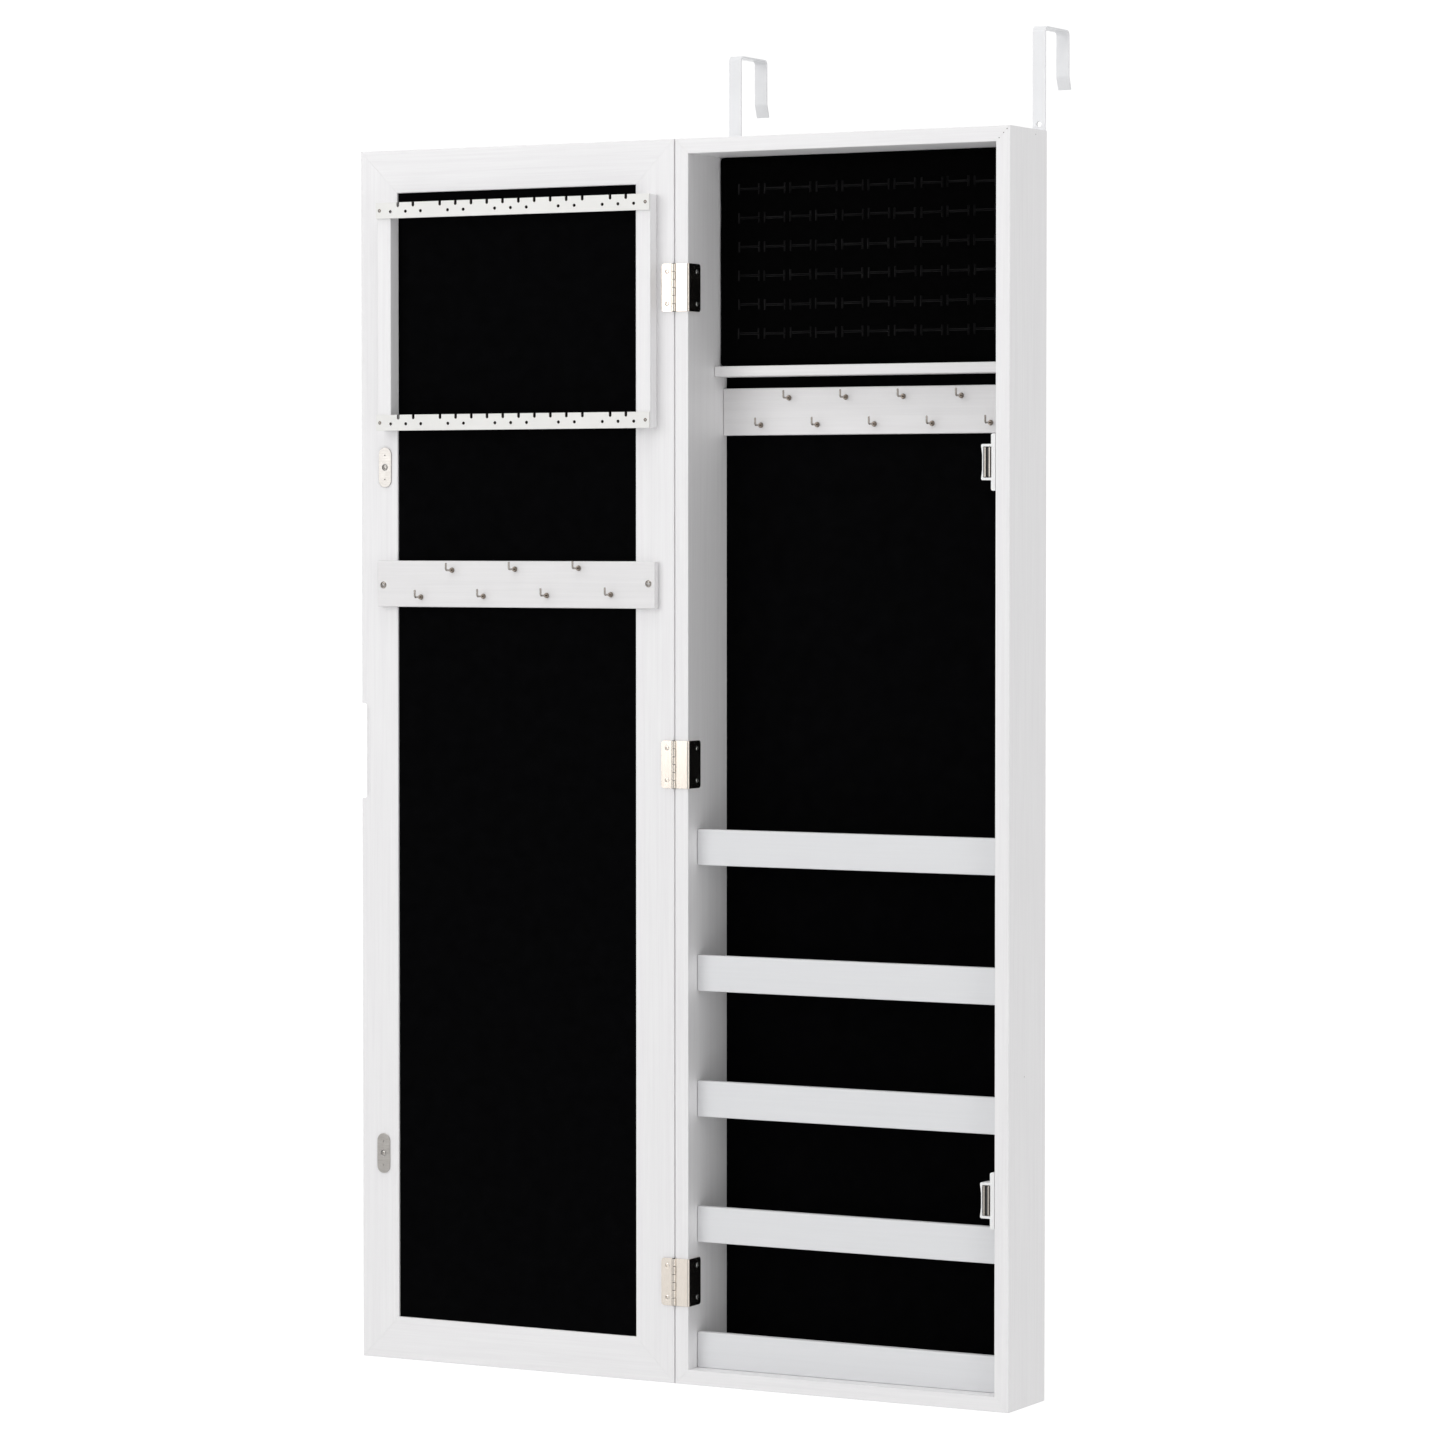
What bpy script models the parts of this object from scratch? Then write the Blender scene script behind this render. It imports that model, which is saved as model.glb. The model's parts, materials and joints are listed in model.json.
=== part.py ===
"""Over-door jewelry armoire with a mirrored door, standing open at half a turn.

Metres, +Z up, +X to the right and -Y towards the front. The origin is the centre of the casing's
back face. The casing is a shallow mitred box with a felt-lined back, a ring cushion, a ring shelf,
a necklace board and five trays. The door hangs on three hinges at the casing's left front edge,
and carries an earring holder and a hook board. Two flat straps hook the casing over a room door.
"""

import math

import bmesh
import bpy
from mathutils import Matrix, Vector

# Overall sizes. Heights below are measured up from the casing's lower edge.
HEIGHT = 1.105
WIDTH = 0.327
DEPTH = 0.075
FIT = 0.0003  # gap between pieces that touch
OVERCUT = 0.001  # how far a cutter runs past what it cuts

# Casing boards and back
BOARD = 0.0134
REBATE_WIDTH = 0.006
BACK_THICKNESS = 0.003
INNER_HALF = WIDTH / 2 - BOARD  # half the clear width inside
FRONT = -DEPTH  # plane of the casing's front edges and of the open door's inner face
BACK_FACE = -BACK_THICKNESS  # plane of the felt

# Door
DOOR_THICKNESS = 0.015
DOOR_MEMBER = 0.039
DOOR_LIP_WIDTH = 0.006
DOOR_LIP = 0.0035
MIRROR_THICKNESS = 0.003
FELT_RECESS = 0.0015
EDGE_GAP = 0.0008  # between the casing's and the door's edges at the hinges
AXIS_PROUD = 0.0015  # how far the hinge axis stands in front of both faces
AXIS_X = -(WIDTH + EDGE_GAP) / 2
AXIS_Y = FRONT - AXIS_PROUD
DOOR_X = AXIS_X - (WIDTH + EDGE_GAP) / 2
FITTINGS_X = DOOR_X + 0.004  # the door's fittings stand nearer the hinges, to clear the far wall
PULL_HEIGHTS = (0.514, 0.601)
PULL_INSET = 0.0088
PULL_DEPTH = 0.008

# Ring cushion, ring shelf and necklace board
CUSHION_THICKNESS = 0.0145
SHELF_HEIGHT = 0.8957
SHELF_THICKNESS = 0.0094
SHELF_DEPTH = 0.024
NECKLACE_BOARD_HEIGHT = 0.8437
HOOK_BOARD_TALL = 0.042
NECKLACE_BOARD_THICKNESS = 0.007

# Trays
TRAY_COUNT = 5
TRAY_PITCH = 0.112
TRAY_RAIL_TALL = 0.032
TRAY_RAIL_THICKNESS = 0.007
TRAY_SETBACK = 0.016
TRAY_FLOOR = 0.003

# Hooks
HOOK_REACH = 0.0105
HOOK_RISE = 0.0058
HOOK_WIRE = 0.0009
COLLAR_RADIUS = 0.0025
COLLAR_THICKNESS = 0.0022
HOOK_ROW_OFFSET = 0.0120
NECKLACE_HOOK_PITCH = 0.0566
NECKLACE_HOOK_SHIFT = 0.0015
DOOR_HOOK_PITCH = 0.0661
DOOR_HOOK_CLIMB = 0.0166  # rise of the door's rows per metre towards the hinges

# Earring holder
HOLDER_WIDTH = 0.2848
HOLDER_HEIGHTS = (0.8496, 1.0565)
POST_WIDTH = 0.0145
POST_DEPTH = 0.0122
BAR_TALL = 0.0144
BAR_THICKNESS = 0.0018
EAR_PITCH = 0.0165
EAR_END_PITCH = 0.016
EAR_END_START = 0.0947
EAR_HOLE_RADIUS = 0.0014
EAR_HOLE_DROP = 0.0083  # hole centres below the bar's top edge
NOTCH_WIDTH = 0.0026
NOTCH_DEEP = 0.0042

# Door hook board
DOOR_BOARD_HEIGHT = 0.6895
DOOR_BOARD_WIDTH = 0.29
DOOR_BOARD_SHIFT = -0.001
DOOR_BOARD_THICKNESS = 0.007

# Hinges
HINGE_HEIGHTS = {"top": 0.9736, "middle": 0.5515, "bottom": 0.0911}
HINGE_TALL = 0.0423
LEAF = 0.001
LEAF_WIDTH = 0.0128
LEAF_WRAP = 0.0206
LEAF_CORNER = 0.003
LEAF_BEND = 0.0018  # outer radius, over the casing's corner
KNUCKLES = 6
KNUCKLE_RADIUS = 0.002
PIN_RADIUS = 0.0008
HINGE_SCREW_SPREAD = 0.0142
HINGE_SCREW_RADIUS = 0.0016
DOOR_SCREW_INSET = 0.0069  # from the hinge axis
WALL_SCREW_DEPTH = 0.0148  # behind the casing's front
KNUCKLE_SIDES = 12

# Catches and strike plates
CATCH_HEIGHTS = {"upper": 0.8175, "lower": 0.1825}
CATCH_TALL = 0.049
CATCH_BODY_TALL = 0.031
CATCH_BODY_WIDTH = 0.0136
CATCH_DEPTH = 0.013
CATCH_EAR = 0.004
CATCH_WALL = 0.0022
CATCH_WELL = 0.010
CATCH_SCREW_RADIUS = 0.0017
CATCH_SCREW_SPREAD = 0.02
MAGNET_PLAY = 0.0003
MAGNET_PLATE = 0.0013
MAGNET_PROUD = 0.0005
MAGNET_STEP = 0.0013
STRIKE_PLACES = {"upper": (0.3015, 0.8165), "lower": (0.3043, 0.1886)}
STRIKE_TALL = 0.0365
STRIKE_WIDTH = 0.0133
STRIKE_THICKNESS = 0.0008

# Over-door hooks
STRAP_WIDTH = 0.0124
STRAP_THICKNESS = 0.0016
STRAP_TOPS = {"left": 1.183, "right": 1.196}
STRAP_X = {"left": -0.1435, "right": 0.1555}
STRAP_SPAN = 0.0488
STRAP_LEG = 0.200
STRAP_DROP = 0.040
STRAP_FLARE = (0.004, 0.0115)
STRAP_BEND = 0.004
STRAP_KNEE_BEND = 0.010
STRAP_HOLE_RADIUS = 0.0022
STRAP_HOLE_DROPS = (0.085, 0.098, 0.111, 0.137, 0.150, 0.163)

ARC_STEPS = 4


def level(height):
    """Z of a height measured from the casing's lower edge."""
    return height - HEIGHT / 2


def new_collection(name):
    """A collection linked to the scene."""
    collection = bpy.data.collections.new(name)
    bpy.context.scene.collection.children.link(collection)
    return collection


def new_finish(name, colour, roughness, metallic=0.0):
    """A Principled material."""
    finish = bpy.data.materials.new(name)
    finish.use_nodes = True
    shader = finish.node_tree.nodes["Principled BSDF"]
    shader.inputs["Base Color"].default_value = (*colour, 1.0)
    shader.inputs["Roughness"].default_value = roughness
    shader.inputs["Metallic"].default_value = metallic
    finish.diffuse_color = (*colour, 1.0)
    return finish


for leftover in list(bpy.data.objects):
    bpy.data.objects.remove(leftover, do_unlink=True)

PARTS = new_collection("jewelry_armoire")
CUTTERS = new_collection("cutters")

WHITE_FOIL = new_finish("white_foil", (0.86, 0.86, 0.87), 0.45)
BLACK_FELT = new_finish("black_felt", (0.006, 0.006, 0.007), 0.95)
MIRROR_GLASS = new_finish("mirror_glass", (0.92, 0.93, 0.94), 0.02, 1.0)
SATIN_NICKEL = new_finish("satin_nickel", (0.62, 0.56, 0.50), 0.28, 1.0)
WHITE_PLASTIC = new_finish("white_plastic", (0.88, 0.88, 0.88), 0.35)
MAGNET_STEEL = new_finish("magnet_steel", (0.22, 0.20, 0.18), 0.4, 1.0)
WHITE_ENAMEL = new_finish("white_enamel", (0.85, 0.85, 0.87), 0.3)


# ---- making and cutting meshes


def to_mesh(name, shape):
    """A mesh from a bmesh, which is freed."""
    bmesh.ops.recalc_face_normals(shape, faces=shape.faces)
    mesh = bpy.data.meshes.new(name)
    shape.to_mesh(mesh)
    shape.free()
    return mesh


def place(name, mesh, finish, parent=None, location=(0.0, 0.0, 0.0)):
    """An object in the parts collection, kept where it is in the world under its parent."""
    part = bpy.data.objects.new(name, mesh)
    PARTS.objects.link(part)
    part.location = location
    if parent is not None:
        part.parent = parent
        part.matrix_parent_inverse = Matrix.Translation(parent.location).inverted()
    if not mesh.materials:
        mesh.materials.append(finish)
    return part


def add_cutter(name, mesh):
    """A hidden object that only shapes others."""
    cutter = bpy.data.objects.new(name, mesh)
    CUTTERS.objects.link(cutter)
    cutter.hide_render = True
    cutter.display_type = "WIRE"
    return cutter


def shape_with(part, cutter, operation="DIFFERENCE"):
    """Boolean one object with another."""
    modifier = part.modifiers.new(cutter.name, "BOOLEAN")
    modifier.operation = operation
    modifier.solver = "EXACT"
    modifier.object = cutter


def settled_mesh(name, source):
    """The mesh of an object as its modifiers leave it. The object is removed."""
    evaluated = source.evaluated_get(bpy.context.evaluated_depsgraph_get())
    mesh = bpy.data.meshes.new_from_object(evaluated)
    mesh.name = name
    bpy.data.objects.remove(source, do_unlink=True)
    return mesh


def box_shape(low, high):
    """A bmesh box between two corners."""
    shape = bmesh.new()
    bmesh.ops.create_cube(shape, size=1.0)
    size = Vector(high) - Vector(low)
    middle = (Vector(high) + Vector(low)) / 2
    bmesh.ops.scale(shape, vec=size, verts=shape.verts)
    bmesh.ops.translate(shape, vec=middle, verts=shape.verts)
    return shape


def block(name, low, high, finish, parent=None):
    """A box as a part."""
    return place(name, to_mesh(name, box_shape(low, high)), finish, parent)


def fillet(before, corner, after, radius, steps=ARC_STEPS):
    """Points of the arc that rounds a corner between two others."""
    incoming = (Vector(before) - Vector(corner)).normalized()
    outgoing = (Vector(after) - Vector(corner)).normalized()
    half_angle = incoming.angle(outgoing) / 2
    centre = Vector(corner) + (incoming + outgoing).normalized() * radius / math.sin(half_angle)
    start = Vector(corner) + incoming * radius / math.tan(half_angle) - centre
    finish = Vector(corner) + outgoing * radius / math.tan(half_angle) - centre
    sweep = start.angle_signed(finish)
    return [centre + Matrix.Rotation(-sweep * step / steps, 2) @ start for step in range(steps + 1)]


def rounded(corners, closed=True):
    """Points of an outline or a path whose corners are (a, b, radius)."""
    points = []
    last = len(corners) - 1
    for index, (a, b, radius) in enumerate(corners):
        inner = closed or 0 < index < last
        if radius == 0 or not inner:
            points.append(Vector((a, b)))
            continue
        before = corners[index - 1][:2]
        after = corners[(index + 1) % len(corners)][:2]
        points += fillet(before, (a, b), after, radius)
    return points


def prism_shape(outline, start, end, axis):
    """A flat outline drawn out along X, Y or Z between two positions."""
    along = "XYZ".index(axis)
    shape = bmesh.new()
    corners = []
    for a, b in outline:
        spot = [a, b]
        spot.insert(along, start)
        corners.append(shape.verts.new(spot))
    face = shape.faces.new(corners)
    drawn = bmesh.ops.extrude_face_region(shape, geom=[face])["geom"]
    moved = [item for item in drawn if isinstance(item, bmesh.types.BMVert)]
    step = [0.0, 0.0, 0.0]
    step[along] = end - start
    bmesh.ops.translate(shape, vec=step, verts=moved)
    return shape


def rod_shape(spots, radius, length, axis, sides=10, shape=None):
    """Round rods of one size, centred on their spots and lying along X, Y or Z."""
    shape = shape or bmesh.new()
    turns = {
        "X": Matrix.Rotation(math.pi / 2, 4, "Y"),
        "Y": Matrix.Rotation(math.pi / 2, 4, "X"),
        "Z": Matrix.Identity(4),
    }
    for spot in spots:
        bmesh.ops.create_cone(
            shape,
            cap_ends=True,
            segments=sides,
            radius1=radius,
            radius2=radius,
            depth=length,
            matrix=Matrix.Translation(spot) @ turns[axis],
        )
    return shape


def rods(name, spots, radius, length, axis, sides=10):
    """Round cutters in one object."""
    return add_cutter(name, to_mesh(name, rod_shape(spots, radius, length, axis, sides)))


def round_corners(shape, chosen, radius):
    """Round a leaf's corners: the short edges whose two ends both pass a test."""
    short = [edge for edge in shape.edges if edge.calc_length() < 2 * LEAF]
    edges = [edge for edge in short if all(chosen(vert.co) for vert in edge.verts)]
    bmesh.ops.bevel(shape, geom=edges, offset=radius, segments=ARC_STEPS, profile=0.5, affect="EDGES")


# ---- mitred frames


def mitred_side(outline, run, offset, turn, centre_x):
    """One side of a mitred frame.

    The outline holds (distance in from the outer edge, depth) points. It is drawn out along the
    side, each end slopes at 45 degrees, and the side is turned into place by quarter turns: left,
    top, right and bottom.
    """
    shape = prism_shape(outline, -1.0, 1.0, "Z")
    mitre_gap = FIT / math.sqrt(2)
    for vert in shape.verts:
        vert.co.z = math.copysign(run / 2 - vert.co.x - mitre_gap, vert.co.z)
        vert.co.x -= offset
    turned = Matrix.Translation((centre_x, 0, 0)) @ Matrix.Rotation(turn * math.pi / 2, 4, "Y")
    bmesh.ops.transform(shape, matrix=turned, verts=shape.verts)
    return shape


def mitred_frame(names, outline, centre_x, finish, parent=None):
    """Four mitred sides round a WIDTH by HEIGHT rectangle, as named parts."""
    sides = []
    for turn, name in enumerate(names):
        upright = turn % 2 == 0
        run = HEIGHT if upright else WIDTH
        offset = (WIDTH if upright else HEIGHT) / 2
        shape = mitred_side(outline, run, offset, turn, centre_x)
        sides.append(place(name, to_mesh(name, shape), finish, parent))
    return sides


# ---- casing


def casing_boards():
    """The four boards, with a rebate behind for the back panel."""
    rebate_floor = -BACK_THICKNESS - FIT
    outline = [
        (0.0, FRONT),
        (BOARD, FRONT),
        (BOARD, rebate_floor),
        (BOARD - REBATE_WIDTH, rebate_floor),
        (BOARD - REBATE_WIDTH, 0.0),
        (0.0, 0.0),
    ]
    names = ("casing_left_side", "casing_top", "casing_right_side", "casing_bottom")
    left = mitred_frame(names, outline, 0.0, WHITE_FOIL)[0]
    half_across = INNER_HALF + REBATE_WIDTH - FIT
    half_up = HEIGHT / 2 - BOARD + REBATE_WIDTH - FIT
    block("back_panel", (-half_across, -BACK_THICKNESS, -half_up), (half_across, 0.0, half_up), BLACK_FELT)
    return left


def across_casing(name, front, back, bottom, top, finish):
    """A piece that spans the casing between its two sides."""
    half = INNER_HALF - FIT
    return block(name, (-half, front, level(bottom)), (half, back, level(top)), finish)


def upper_fittings():
    """Ring cushion, ring shelf and necklace board."""
    behind = BACK_FACE - FIT
    shelf_top = SHELF_HEIGHT + SHELF_THICKNESS
    across_casing(
        "ring_cushion", behind - CUSHION_THICKNESS, behind, shelf_top + FIT, HEIGHT - BOARD - FIT, BLACK_FELT
    )
    across_casing("ring_shelf", behind - SHELF_DEPTH, behind, SHELF_HEIGHT, shelf_top, WHITE_FOIL)
    board_front = behind - NECKLACE_BOARD_THICKNESS
    board_top = NECKLACE_BOARD_HEIGHT + HOOK_BOARD_TALL
    across_casing("necklace_board", board_front, behind, NECKLACE_BOARD_HEIGHT, board_top, WHITE_FOIL)
    return board_front


def trays():
    """Five rails, and a floor behind each but the lowest, which stands on the casing's bottom."""
    rail_front = FRONT + TRAY_SETBACK
    rail_back = rail_front + TRAY_RAIL_THICKNESS
    for number in range(1, TRAY_COUNT + 1):
        bottom = BOARD + FIT + (TRAY_COUNT - number) * TRAY_PITCH
        across_casing(
            f"tray_rail_{number}", rail_front, rail_back, bottom, bottom + TRAY_RAIL_TALL, WHITE_FOIL
        )
        if number < TRAY_COUNT:
            across_casing(
                f"tray_floor_{number}", rail_back + FIT, BACK_FACE - FIT, bottom, bottom + TRAY_FLOOR, WHITE_FOIL
            )


# ---- hooks


def hook_mesh():
    """An L-shaped hook: a collar at the origin, a wire straight out to the front, then up."""
    path = rounded([(0.0, 0.0, 0.0), (-HOOK_REACH, 0.0, 0.0018), (-HOOK_REACH, HOOK_RISE, 0.0)], closed=False)
    curve = bpy.data.curves.new("hook_wire", "CURVE")
    curve.dimensions = "3D"
    curve.bevel_depth = HOOK_WIRE
    curve.bevel_resolution = 1
    curve.use_fill_caps = True
    spline = curve.splines.new("POLY")
    spline.points.add(len(path) - 1)
    for point, (forward, up) in zip(spline.points, path):
        point.co = (0.0, forward, up, 1.0)
    wire = bpy.data.objects.new("hook_wire", curve)
    CUTTERS.objects.link(wire)
    wire_mesh = settled_mesh("hook_wire", wire)
    bpy.data.curves.remove(curve)
    shape = bmesh.new()
    shape.from_mesh(wire_mesh)
    bmesh.ops.remove_doubles(shape, verts=shape.verts, dist=0.00005)
    bpy.data.meshes.remove(wire_mesh)
    body = add_cutter("hook_body", to_mesh("hook_body", shape))
    collar_spot = (0.0, -COLLAR_THICKNESS / 2 + FIT, 0.0)
    collar = rods("hook_collar", [collar_spot], COLLAR_RADIUS, COLLAR_THICKNESS, "Y", 12)
    shape_with(body, collar, "UNION")
    mesh = settled_mesh("hook", body)
    bpy.data.objects.remove(collar, do_unlink=True)
    return mesh


def staggered_hooks(
    prefix, mesh, long_row, centre_x, board_front, middle_height, pitch, climb=0.0, parent=None
):
    """Two rows of hooks: the lower one longer by a hook, the upper one between its hooks.

    The rows climb from the first lower hook towards +X.
    """
    start = centre_x - (long_row - 1) / 2 * pitch
    number = 1
    for length, height in ((long_row - 1, HOOK_ROW_OFFSET), (long_row, -HOOK_ROW_OFFSET)):
        for index in range(length):
            x = centre_x + (index - (length - 1) / 2) * pitch
            z = level(middle_height) + height + climb * (x - start)
            spot = (x, board_front - 2 * FIT, z)
            place(f"{prefix}_{number}", mesh, SATIN_NICKEL, parent, spot)
            number += 1


# ---- hinges


def knuckle_spots(first):
    """Centres of every second knuckle, measured from the hinge's middle."""
    pitch = HINGE_TALL / KNUCKLES
    return [(0.0, 0.0, (slot + 0.5) * pitch - HINGE_TALL / 2) for slot in range(first, KNUCKLES, 2)]


def leaf_mesh(name, shape, own_first, screw_holes):
    """A leaf with its own knuckles, cut clear of its partner's. The axis is at the origin."""
    pitch = HINGE_TALL / KNUCKLES
    leaf = add_cutter(name, to_mesh(name, shape))
    own = rods("own_knuckles", knuckle_spots(own_first), KNUCKLE_RADIUS, pitch - FIT, "Z", KNUCKLE_SIDES)
    others = rods(
        "other_knuckles",
        knuckle_spots(1 - own_first),
        KNUCKLE_RADIUS + FIT,
        pitch + FIT,
        "Z",
        KNUCKLE_SIDES,
    )
    shape_with(leaf, others)
    shape_with(leaf, own, "UNION")
    shape_with(leaf, screw_holes)
    tools = [own, others, screw_holes]
    if own_first == 0:
        bore = rods("bore", [(0, 0, 0)], PIN_RADIUS + FIT, HINGE_TALL + OVERCUT, "Z", KNUCKLE_SIDES)
        shape_with(leaf, bore)
        tools.append(bore)
    else:
        pin = rods("pin", [(0, 0, 0)], PIN_RADIUS, HINGE_TALL, "Z", 10)
        shape_with(leaf, pin, "UNION")
        tools.append(pin)
    mesh = settled_mesh(name, leaf)
    for tool in tools:
        bpy.data.objects.remove(tool, do_unlink=True)
    return mesh


def door_leaf_mesh():
    """The flat leaf that lies on the door's inner face."""
    back = AXIS_PROUD - FIT
    half = HINGE_TALL / 2
    shape = box_shape((-LEAF_WIDTH, back - LEAF, -half), (0.0, back, half))
    round_corners(shape, lambda spot: spot.x < -LEAF_WIDTH / 2, LEAF_CORNER)
    spots = [(-DOOR_SCREW_INSET, back, side * HINGE_SCREW_SPREAD) for side in (-1, 1)]
    holes = rods("leaf_screws", spots, HINGE_SCREW_RADIUS, 4 * LEAF, "Y")
    return leaf_mesh("door_leaf", shape, 0, holes)


def casing_leaf_mesh():
    """The leaf that covers the casing's front edge and turns in along its inner wall."""
    back = AXIS_PROUD - FIT
    front = back - LEAF
    inner = BOARD + EDGE_GAP / 2 + FIT
    outer = inner + LEAF
    reach = AXIS_PROUD + LEAF_WRAP
    outline = rounded(
        [
            (0.0, front, 0.0),
            (outer, front, LEAF_BEND),
            (outer, reach, 0.0),
            (inner, reach, 0.0),
            (inner, back, LEAF_BEND - LEAF),
            (0.0, back, 0.0),
        ]
    )
    half = HINGE_TALL / 2
    shape = prism_shape(outline, -half, half, "Z")
    round_corners(shape, lambda spot: spot.y > reach - LEAF / 2, LEAF_CORNER)
    depth = AXIS_PROUD + WALL_SCREW_DEPTH
    spots = [(inner, depth, side * HINGE_SCREW_SPREAD) for side in (-1, 1)]
    holes = rods("leaf_screws", spots, HINGE_SCREW_RADIUS, 4 * LEAF, "X")
    return leaf_mesh("casing_leaf", shape, 1, holes)


def hinges(casing_side, door_side, door):
    """Three hinges, and the grooves that their knuckles need in both edges."""
    door_leaf = door_leaf_mesh()
    casing_leaf = casing_leaf_mesh()
    spots = []
    for name, height in HINGE_HEIGHTS.items():
        spot = (AXIS_X, AXIS_Y, level(height))
        spots.append(spot)
        place(f"hinge_casing_leaf_{name}", casing_leaf, SATIN_NICKEL, None, spot)
        place(f"hinge_door_leaf_{name}", door_leaf, SATIN_NICKEL, door, spot)
    grooves = rods("knuckle_grooves", spots, KNUCKLE_RADIUS + FIT, HINGE_TALL + 2 * FIT, "Z", KNUCKLE_SIDES)
    shape_with(casing_side, grooves)
    shape_with(door_side, grooves)


# ---- catches


def catch_housing(name, height):
    """A plastic housing on the right wall: two ears and a body with a well that is open in front."""
    half_ear = CATCH_TALL / 2
    half_body = CATCH_BODY_TALL / 2
    wall = INNER_HALF - FIT
    ear = wall - CATCH_EAR
    side = wall - CATCH_BODY_WIDTH
    middle = level(height)
    outline = [
        (wall, middle - half_ear),
        (wall, middle + half_ear),
        (ear, middle + half_ear),
        (ear, middle + half_body),
        (side, middle + half_body),
        (side, middle - half_body),
        (ear, middle - half_body),
        (ear, middle - half_ear),
    ]
    housing = place(name, to_mesh(name, prism_shape(outline, FRONT, FRONT + CATCH_DEPTH, "Y")), WHITE_PLASTIC)
    half_well = half_body - CATCH_WALL
    well_low = (side + CATCH_WALL, FRONT - OVERCUT, middle - half_well)
    well_high = (ear + FIT, FRONT + CATCH_WELL, middle + half_well)
    well = add_cutter(f"{name}_well", to_mesh(f"{name}_well", box_shape(well_low, well_high)))
    shape_with(housing, well)
    spots = [(ear, FRONT + CATCH_DEPTH / 2, middle + turn * CATCH_SCREW_SPREAD) for turn in (-1, 1)]
    shape_with(housing, rods(f"{name}_screws", spots, CATCH_SCREW_RADIUS, 4 * CATCH_EAR, "X"))
    return Vector(well_low), Vector(well_high)


def catch_magnet(name, well_low, well_high):
    """A magnet between two steel pole plates that stand a little proud of it."""
    left = well_low.x + MAGNET_PLAY
    right = well_high.x - MAGNET_PLAY
    face = FRONT - MAGNET_PROUD
    step = face + MAGNET_STEP
    back = well_high.y - MAGNET_PLAY
    outline = [
        (left, face),
        (left + MAGNET_PLATE, face),
        (left + MAGNET_PLATE, step),
        (right - MAGNET_PLATE, step),
        (right - MAGNET_PLATE, face),
        (right, face),
        (right, back),
        (left, back),
    ]
    play = 2 * MAGNET_PLAY
    shape = prism_shape(outline, well_low.z + play, well_high.z - play, "Z")
    place(name, to_mesh(name, shape), MAGNET_STEEL)


def strike_plate(name, from_axis, height, door):
    """A steel plate with round ends and one screw hole, on the door's inner face."""
    x = AXIS_X - from_axis
    z = level(height)
    wide = STRIKE_WIDTH / 2
    tall = STRIKE_TALL / 2
    corner = wide * 0.999
    outline = rounded(
        [
            (x - wide, z - tall, corner),
            (x + wide, z - tall, corner),
            (x + wide, z + tall, corner),
            (x - wide, z + tall, corner),
        ]
    )
    back = FRONT - FIT
    shape = prism_shape(outline, back - STRIKE_THICKNESS, back, "Y")
    plate = place(name, to_mesh(name, shape), SATIN_NICKEL, door)
    shape_with(plate, rods(f"{name}_screw", [(x, back, z)], 0.0019, 4 * STRIKE_THICKNESS, "Y"))


def catches(door):
    """Both catches and the plates that they hold."""
    for name, height in CATCH_HEIGHTS.items():
        well_low, well_high = catch_housing(f"catch_housing_{name}", height)
        catch_magnet(f"catch_magnet_{name}", well_low, well_high)
        strike_plate(f"strike_plate_{name}", *STRIKE_PLACES[name], door)


# ---- over-door hooks


def over_door_hook(side):
    """A flat strap: up the casing's back, over the room door and down behind it."""
    top = level(STRAP_TOPS[side])
    half = STRAP_THICKNESS / 2
    near = FIT + half
    far = near + STRAP_SPAN
    crown = top - half
    knee = top - STRAP_DROP
    flare_out, flare_down = STRAP_FLARE
    path = rounded(
        [
            (near, top - STRAP_LEG, 0.0),
            (near, crown, STRAP_BEND),
            (far, crown, STRAP_BEND),
            (far, knee, STRAP_KNEE_BEND),
            (far + flare_out, knee - flare_down, 0.0),
        ],
        closed=False,
    )
    shape = bmesh.new()
    left = STRAP_X[side] - STRAP_WIDTH / 2
    spine = [shape.verts.new((left, y, z)) for y, z in path]
    edges = [shape.edges.new(pair) for pair in zip(spine, spine[1:])]
    drawn = bmesh.ops.extrude_edge_only(shape, edges=edges)["geom"]
    moved = [item for item in drawn if isinstance(item, bmesh.types.BMVert)]
    bmesh.ops.translate(shape, vec=(STRAP_WIDTH, 0, 0), verts=moved)
    name = f"over_door_hook_{side}"
    strap = place(name, to_mesh(name, shape), WHITE_ENAMEL)
    thicken = strap.modifiers.new("sheet", "SOLIDIFY")
    thicken.thickness = STRAP_THICKNESS
    thicken.offset = 0.0
    thicken.use_even_offset = True
    spots = [(STRAP_X[side], near, top - drop) for drop in STRAP_HOLE_DROPS]
    shape_with(strap, rods(f"{name}_holes", spots, STRAP_HOLE_RADIUS, 4 * STRAP_THICKNESS, "Y", 8))


# ---- door


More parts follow.
